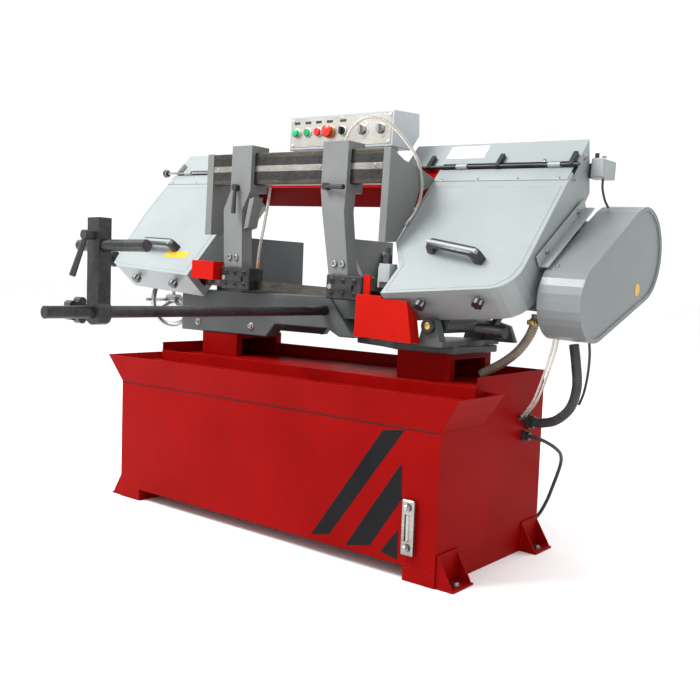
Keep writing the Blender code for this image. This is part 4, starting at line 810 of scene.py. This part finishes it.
def make_guide_fittings():
    """Black screws and bright rollers on the shoes, and the two bolts at each arm's foot."""
    for body, x0, x1, foot in (("left_guide_arm", 0.204, 0.330, 0.238),
                               ("right_guide_arm", 0.645, 0.774, 0.674)):
        screws, rollers, bolts = (bmesh.new() for _ in range(3))
        for k in range(3):
            add_cap_screw(screws, (x0 + 0.022 + 0.041 * k, 0.217, 0.700), (0, -1, 0), 0.0060)
            add_cap_screw(screws, (x0 + 0.022 + 0.041 * k, 0.217, 0.664), (0, -1, 0), 0.0050)
        add_box(screws, (x0 + 0.010, 0.2120, 0.674), (x1 - 0.030, 0.2175, 0.690))
        add_rod(rollers, (x0 + 0.018, 0.2110, 0.682), (x0 + 0.018, 0.2172, 0.682), 0.0072, 24)
        for dx in (-0.0145, 0.0145):
            at = facing((0, -1, 0), (foot + dx, 0.234, 0.747))
            add_lathe(bolts, [(0.0098, 0.0), (0.0098, 0.0050), (0.0086, 0.0062), (0.0056, 0.0062),
                              (0.0050, 0.0020),
                              (0.0005, 0.0020)], at, 24)
        piece(body + "_shoe_screws", screws, "black_steel", body, BOW, bevel=0.0006)
        piece(body + "_rollers", rollers, "bolt", body, BOW)
        piece(body + "_foot_bolts", bolts, "bolt", body, BOW)
    plate = bmesh.new()
    outline = [(0.296, 0.930), (0.316, 0.936), (0.296, 0.842), (0.276, 0.836)]
    add_plate(plate, outline, lambda a, b, level: Vector((a, level, b)), 0.236, 0.276)
    piece("arm_splash_plate", plate, "casting", "left_guide_arm", BOW, bevel=0.0010)


def make_switches():
    """The blade-travel switch beside the right lid and the arm of the lid switch."""
    body, black = bmesh.new(), bmesh.new()
    add_box(body, (0.826, 0.226, 0.706), (0.862, 0.262, 0.756))
    add_box(body, (0.822, 0.228, 0.690), (0.828, 0.258, 0.748))
    add_box(black, (0.834, 0.232, 0.757), (0.852, 0.250, 0.782))
    add_rod(black, (0.843, 0.241, 0.780), (0.843, 0.241, 0.800), 0.0075, 20)
    add_box(black, (1.2512, 0.575, 1.020), (1.2622, 0.625, 1.060))
    add_rod(black, (1.2600, 0.600, 1.062), (1.2600, 0.600, 1.090), 0.0060, 16)
    lead = bmesh.new()
    add_tube(lead, [(1.282, 0.600, 1.021), (1.283, 0.601, 0.995), (1.290, 0.606, 0.965),
                    (1.300, 0.612, 0.944)],
             0.0032, 0.005, 12)
    piece("travel_switch", body, "grey_paint", "bow", BOW, bevel=0.0012)
    piece("switch_heads", black, "black_plastic", "bow", BOW, bevel=0.0010)
    piece("switch_lead", lead, "rubber", "bow", BOW)


def make_turret_body():
    """The cast web that fills the turret behind the hinge barrel."""
    bm = bmesh.new()
    low = 0.5535
    outline = [(0.935, low), (1.105, low), (1.085, 0.600), (1.040, 0.612), (0.975, 0.612),
               (0.945, 0.590)]
    add_plate(bm, outline, lambda a, b, level: MACHINE @ Vector((a, level, b)), 0.5060, 0.5260)
    # the web takes the painted-shade copy of the casting enamel
    piece("turret_web", bm, "shaded_casting", "turret", bevel=0.0030)


def make_hinge_cap():
    """Brass centre and dark ring on the bow's pivot pin."""
    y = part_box("hinge_pin")[0][1]
    at = facing((0, -1, 0), (HINGE.x, y, HINGE.z))
    ring, core = bmesh.new(), bmesh.new()
    add_lathe(ring, [(0.0195, -0.004), (0.0195, 0.0006), (0.0180, 0.0020), (0.0110, 0.0020),
                     (0.0105, 0.0006)], at, 36)
    add_lathe(core, [(0.0100, 0.0), (0.0100, 0.0024), (0.0075, 0.0034), (0.0005, 0.0034)], at, 28)
    piece("pivot_ring", ring, "black_steel", "turret")
    piece("pivot_centre", core, "brass", "turret")


def make_guard_rim():
    """A rolled rim and fixing screws round the belt guard's face."""
    lower, upper = Vector((0.387, 0.690)), Vector((0.665, 0.822))
    r_low, r_high, x = 0.0985, 0.1285, 1.390
    line = upper - lower
    along = math.atan2(line.y, line.x)
    lean = math.acos((r_low - r_high) / line.length)
    points = []
    for i in range(25):
        a = along + lean + (2 * math.pi - 2 * lean) * i / 24
        points.append(Vector((x, lower.x + r_low * math.cos(a), lower.y + r_low * math.sin(a))))
    for i in range(25):
        a = along - lean + 2 * lean * i / 24
        points.append(Vector((x, upper.x + r_high * math.cos(a), upper.y + r_high * math.sin(a))))
    bm = bmesh.new()
    for a, b in zip(points, points[1:] + points[:1]):
        add_rod(bm, a, b, 0.0015, 10)
    # the rim takes the painted-shade copy of the grey enamel
    piece("guard_rim", bm, "shaded_guard_grey", "bow", BOW)
    screws = bmesh.new()
    for y, z in ((0.338, 0.7755),):
        direction = Vector((0, y - lower.x, z - lower.y)).normalized()
        spot = Vector((0, lower.x, lower.y)) + direction * 0.1000
        add_cap_screw(screws, (1.300, spot.y, spot.z), direction, 0.0050)
    flange = bmesh.new()
    start, end = Vector((0.318, 0.772)), Vector((0.560, 0.938))
    normal = Vector((-(end - start).y, (end - start).x)).normalized()
    outline = [start, end, end + normal * 0.030, start + normal * 0.030]
    add_plate(flange, [tuple(p) for p in outline], lambda a, b, level: Vector((level, a, b)), 1.2560,
              1.2600)
    add_plate(flange, [tuple(start - normal * 0.002), tuple(end - normal * 0.002),
                       tuple(end + normal * 0.003),
                       tuple(start + normal * 0.003)], lambda a, b, level: Vector((level, a,
                                                                                   b)), 1.2600, 1.2840)
    for share in (0.16, 0.84):
        spot = start.lerp(end, share) + normal * 0.018
        add_cap_screw(screws, (1.2600, spot.x, spot.y), (1, 0, 0), 0.0065)
    piece("guard_flange", flange, "grey_paint", "bow", BOW, bevel=0.0008)
    piece("guard_screws", screws, "bolt", "bow", BOW)


def make_motor_details():
    """Cooling fins and the cowl's air slots."""
    y, z = 0.665, 0.822
    fins = bmesh.new()
    for i in range(28):
        a = 2 * math.pi * i / 28
        if math.sin(a) > 0.80:
            continue
        direction = Vector((0, math.cos(a), math.sin(a)))
        side = Vector((0, -math.sin(a), math.cos(a))) * 0.0012
        low, high = Vector((0, y, z)) + direction * 0.0610, Vector((0, y, z)) + direction * 0.0705
        corners = [low - side, low + side, high + side * 0.6, high - side * 0.6]
        rings = [[fins.verts.new(c + Vector((x, 0, 0))) for c in corners] for x in (1.068, 1.258)]
        fins.faces.new(rings[0])
        fins.faces.new(rings[1])
        for k in range(4):
            fins.faces.new((rings[0][k], rings[0][(k + 1) % 4], rings[1][(k + 1) % 4], rings[1][k]))
    piece("motor_fins", fins, "casting", "bow", BOW)
    grille = bmesh.new()
    for radius in (0.018, 0.030, 0.042, 0.054):
        add_lathe(grille, [(radius - 0.0022, -0.0002), (radius - 0.0022, 0.0012),
                           (radius + 0.0022, 0.0012),
                           (radius + 0.0022, -0.0002)], facing((-1, 0, 0), (1.010, y, z)), 36)
    piece("motor_grille", grille, "black_steel", "bow", BOW)


def make_tubes():
    """Clear coolant tubes, the pair of clear drains and the grey sensor lead."""
    coolant = (("bow", [(0.640, 0.270, 1.0940), (0.650, 0.285, 1.135), (0.690, 0.300, 1.166),
                        (0.745, 0.318, 1.158), (0.792, 0.346, 1.112), (0.822, 0.378, 1.055),
                        (0.8300, 0.396, 0.995), (0.8300, 0.392, 0.945), (0.8300, 0.368, 0.905),
                        (0.8300, 0.330, 0.868)]),
               ("left_guide_arm", [(0.318, 0.300, 1.030), (0.324, 0.298, 0.990), (0.326, 0.290, 0.930),
                                   (0.318, 0.284, 0.850), (0.306, 0.282, 0.780), (0.302, 0.280, 0.716)]))
    for body, route in coolant:
        bm = bmesh.new()
        add_tube(bm, route, 0.0046, 0.006, 14)
        piece("coolant_tube_" + body, bm, "tube", body, BOW)
    nozzle = bmesh.new()
    add_rod(nozzle, (0.302, 0.280, 0.735), (0.302, 0.278, 0.712), 0.0060, 16, 0.0048)
    piece("coolant_nozzle", nozzle, "brass", "left_guide_arm", BOW)
    pair, collars = bmesh.new(), bmesh.new()
    for shift in (0.0, 0.022):
        route = [(1.302, 0.352 + shift, 0.600), (1.292, 0.354 + shift, 0.550),
                 (1.268, 0.362 + shift, 0.480),
                 (1.240, 0.370 + shift, 0.415), (1.2045, 0.372 + shift, 0.366)]
        add_tube(pair, route, 0.0032, 0.006, 14)
        add_rod(collars, (1.2004, 0.372 + shift, 0.3655), (1.2085, 0.372 + shift, 0.3725), 0.0062, 16)
    piece("drain_tubes", pair, "tube", "machine", MACHINE)
    piece("drain_collars", collars, "rubber", "machine", MACHINE)
    lead = bmesh.new()
    add_tube(lead, [(1.366, 0.412, 0.582), (1.366, 0.420, 0.540), (1.360, 0.428, 0.490),
                    (1.349, 0.436, 0.445),
                    (1.336, 0.440, 0.412)], 0.0034, 0.006, 12)
    piece("sensor_lead", lead, "rubber", "machine", MACHINE)
    clamp = bmesh.new()
    add_rod(clamp, (1.2195, 0.400, 0.626), (1.2170, 0.400, 0.615), 0.0158, 28)
    add_box(clamp, (1.206, 0.379, 0.614), (1.226, 0.387, 0.626))
    piece("hose_clamp", clamp, "brass", "machine", MACHINE, bevel=0.0006)


# ---------------------------------------------------------------- control panel
BOX_FACE = 0.4190
CONTROL_Z = 1.1565


def make_panel():
    """Bezels, pilot lamp, yellow emergency ring, dial scales and corner screws."""
    bezels, marks = bmesh.new(), bmesh.new()
    for x, radius in ((0.311, 0.0150), (0.358, 0.0150), (0.403, 0.0150), (0.503, 0.0150)):
        at = facing((0, -1, 0), (x, BOX_FACE, CONTROL_Z))
        add_lathe(bezels, [(radius, 0.0), (radius, 0.0024), (radius - 0.0015, 0.0034),
                           (radius - 0.0036, 0.0034),
                           (radius - 0.0040, 0.0002)], at, 32)
    for x in (0.580, 0.651):
        for i in range(11):
            a = math.radians(225 - 27 * i)
            c = Vector((x + 0.0215 * math.cos(a), BOX_FACE, CONTROL_Z + 0.0215 * math.sin(a)))
            add_rod(marks, c, c + Vector((0.004 * math.cos(a), -0.0003, 0.004 * math.sin(a))), 0.0006, 8)
    for x in (0.295, 0.683):
        for z in (1.118, 1.196):
            add_cap_screw(bezels, (x, BOX_FACE, z), (0, -1, 0), 0.0032)
    piece("panel_bezels", bezels, "white", "bow", BOW)
    plate = bmesh.new()
    add_box(plate, (0.2876, BOX_FACE + 0.0001, 1.1116), (0.6904, BOX_FACE + 0.0022, 1.2014))
    piece("panel_plate", plate, "panel", "bow", BOW)
    piece("panel_marks", marks, "black_plastic", "bow", BOW)
    rings = bmesh.new()
    for x in (0.580, 0.651):
        add_lathe(rings, [(0.0270, 0.0), (0.0270, 0.0006), (0.0180, 0.0007)],
                  facing((0, -1, 0), (x, BOX_FACE, CONTROL_Z)), 36)
    piece("dial_plates", rings, "scale_light", "bow", BOW)
    ring = bmesh.new()
    add_lathe(ring, [(0.0208, 0.0), (0.0208, 0.0016), (0.0195, 0.0022), (0.0100, 0.0022)],
              facing((0, -1, 0), (0.448, BOX_FACE, CONTROL_Z)), 40)
    piece("emergency_ring", ring, "yellow", "bow", BOW)
    lamp = bmesh.new()
    add_lathe(lamp, [(0.0128, 0.0), (0.0128, 0.0100), (0.0112, 0.0128), (0.0070, 0.0146),
                     (0.0006, 0.0150)],
              facing((0, -1, 0), (0.311, BOX_FACE, CONTROL_Z)), 32)
    piece("pilot_lamp", lamp, "lens", "bow", BOW)
    blanks = bmesh.new()
    for x in (0.311, 0.358, 0.403, 0.448, 0.503):
        add_box(blanks, (x - 0.012, BOX_FACE - 0.0006, CONTROL_Z + 0.027),
                (x + 0.012, BOX_FACE + 0.0002, CONTROL_Z + 0.035))
    piece("panel_blanks", blanks, "black_plastic", "bow", BOW)


def make_box_back():
    """Rear lid, screws and cable glands of the control box."""
    lid, screws, glands = bmesh.new(), bmesh.new(), bmesh.new()
    outline = [(0.553, 1.160), (0.5475, 1.2150), (0.5495, 1.2152), (0.5550, 1.1602)]
    add_plate(lid, outline, lambda a, b, level: Vector((level, a + 0.0026, b)), 0.300, 0.678)
    for x in (0.312, 0.666):
        for share in (0.15, 0.85):
            y, z = 0.5550 - 0.0055 * share, 1.1602 + 0.0550 * share
            add_cap_screw(screws, (x, y + 0.0030, z), (0, 0.995, 0.10), 0.0040)
    for x in (0.430, 0.470, 0.520):
        add_rod(glands, (x, 0.470, 1.1032), (x, 0.470, 1.0900), 0.0105, 6)
        add_rod(glands, (x, 0.470, 1.0905), (x, 0.470, 1.0800), 0.0080, 20, 0.0060)
    piece("box_lid", lid, "pale_paint", "bow", BOW)
    piece("box_lid_screws", screws, "bolt", "bow", BOW)
    piece("box_glands", glands, "black_plastic", "bow", BOW)


def make_mushroom():
    """The domed head of the emergency stop."""
    lo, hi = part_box("emergency_stop")
    centre = ((lo[0] + hi[0]) / 2, lo[1], (lo[2] + hi[2]) / 2)
    at = facing((0, -1, 0), centre)
    dome = bmesh.new()
    add_lathe(dome, [(0.0190, -0.0060), (0.0196, -0.0030), (0.0180, 0.0006), (0.0120, 0.0032),
                     (0.0005, 0.0040)], at, 36)
    piece("emergency_dome", dome, "red_plastic", "estop")


MATS = make_materials()
make_camera()
make_stage()
make_cord()
make_hoses()
use_cad_materials()
make_stripes()
make_gauge()
make_cabinet_fittings()
make_jaw_serrations()
make_screw_thread()
make_rear_door()
make_handles()
make_latch_knobs()
make_hinge_details()
make_housing_screws()
make_labels()
make_cover_seams()
make_beam_details()
make_blade_teeth()
make_guide_fittings()
make_switches()
make_turret_body()
make_hinge_cap()
make_guard_rim()
make_motor_details()
make_tubes()
make_panel()
make_box_back()
make_mushroom()
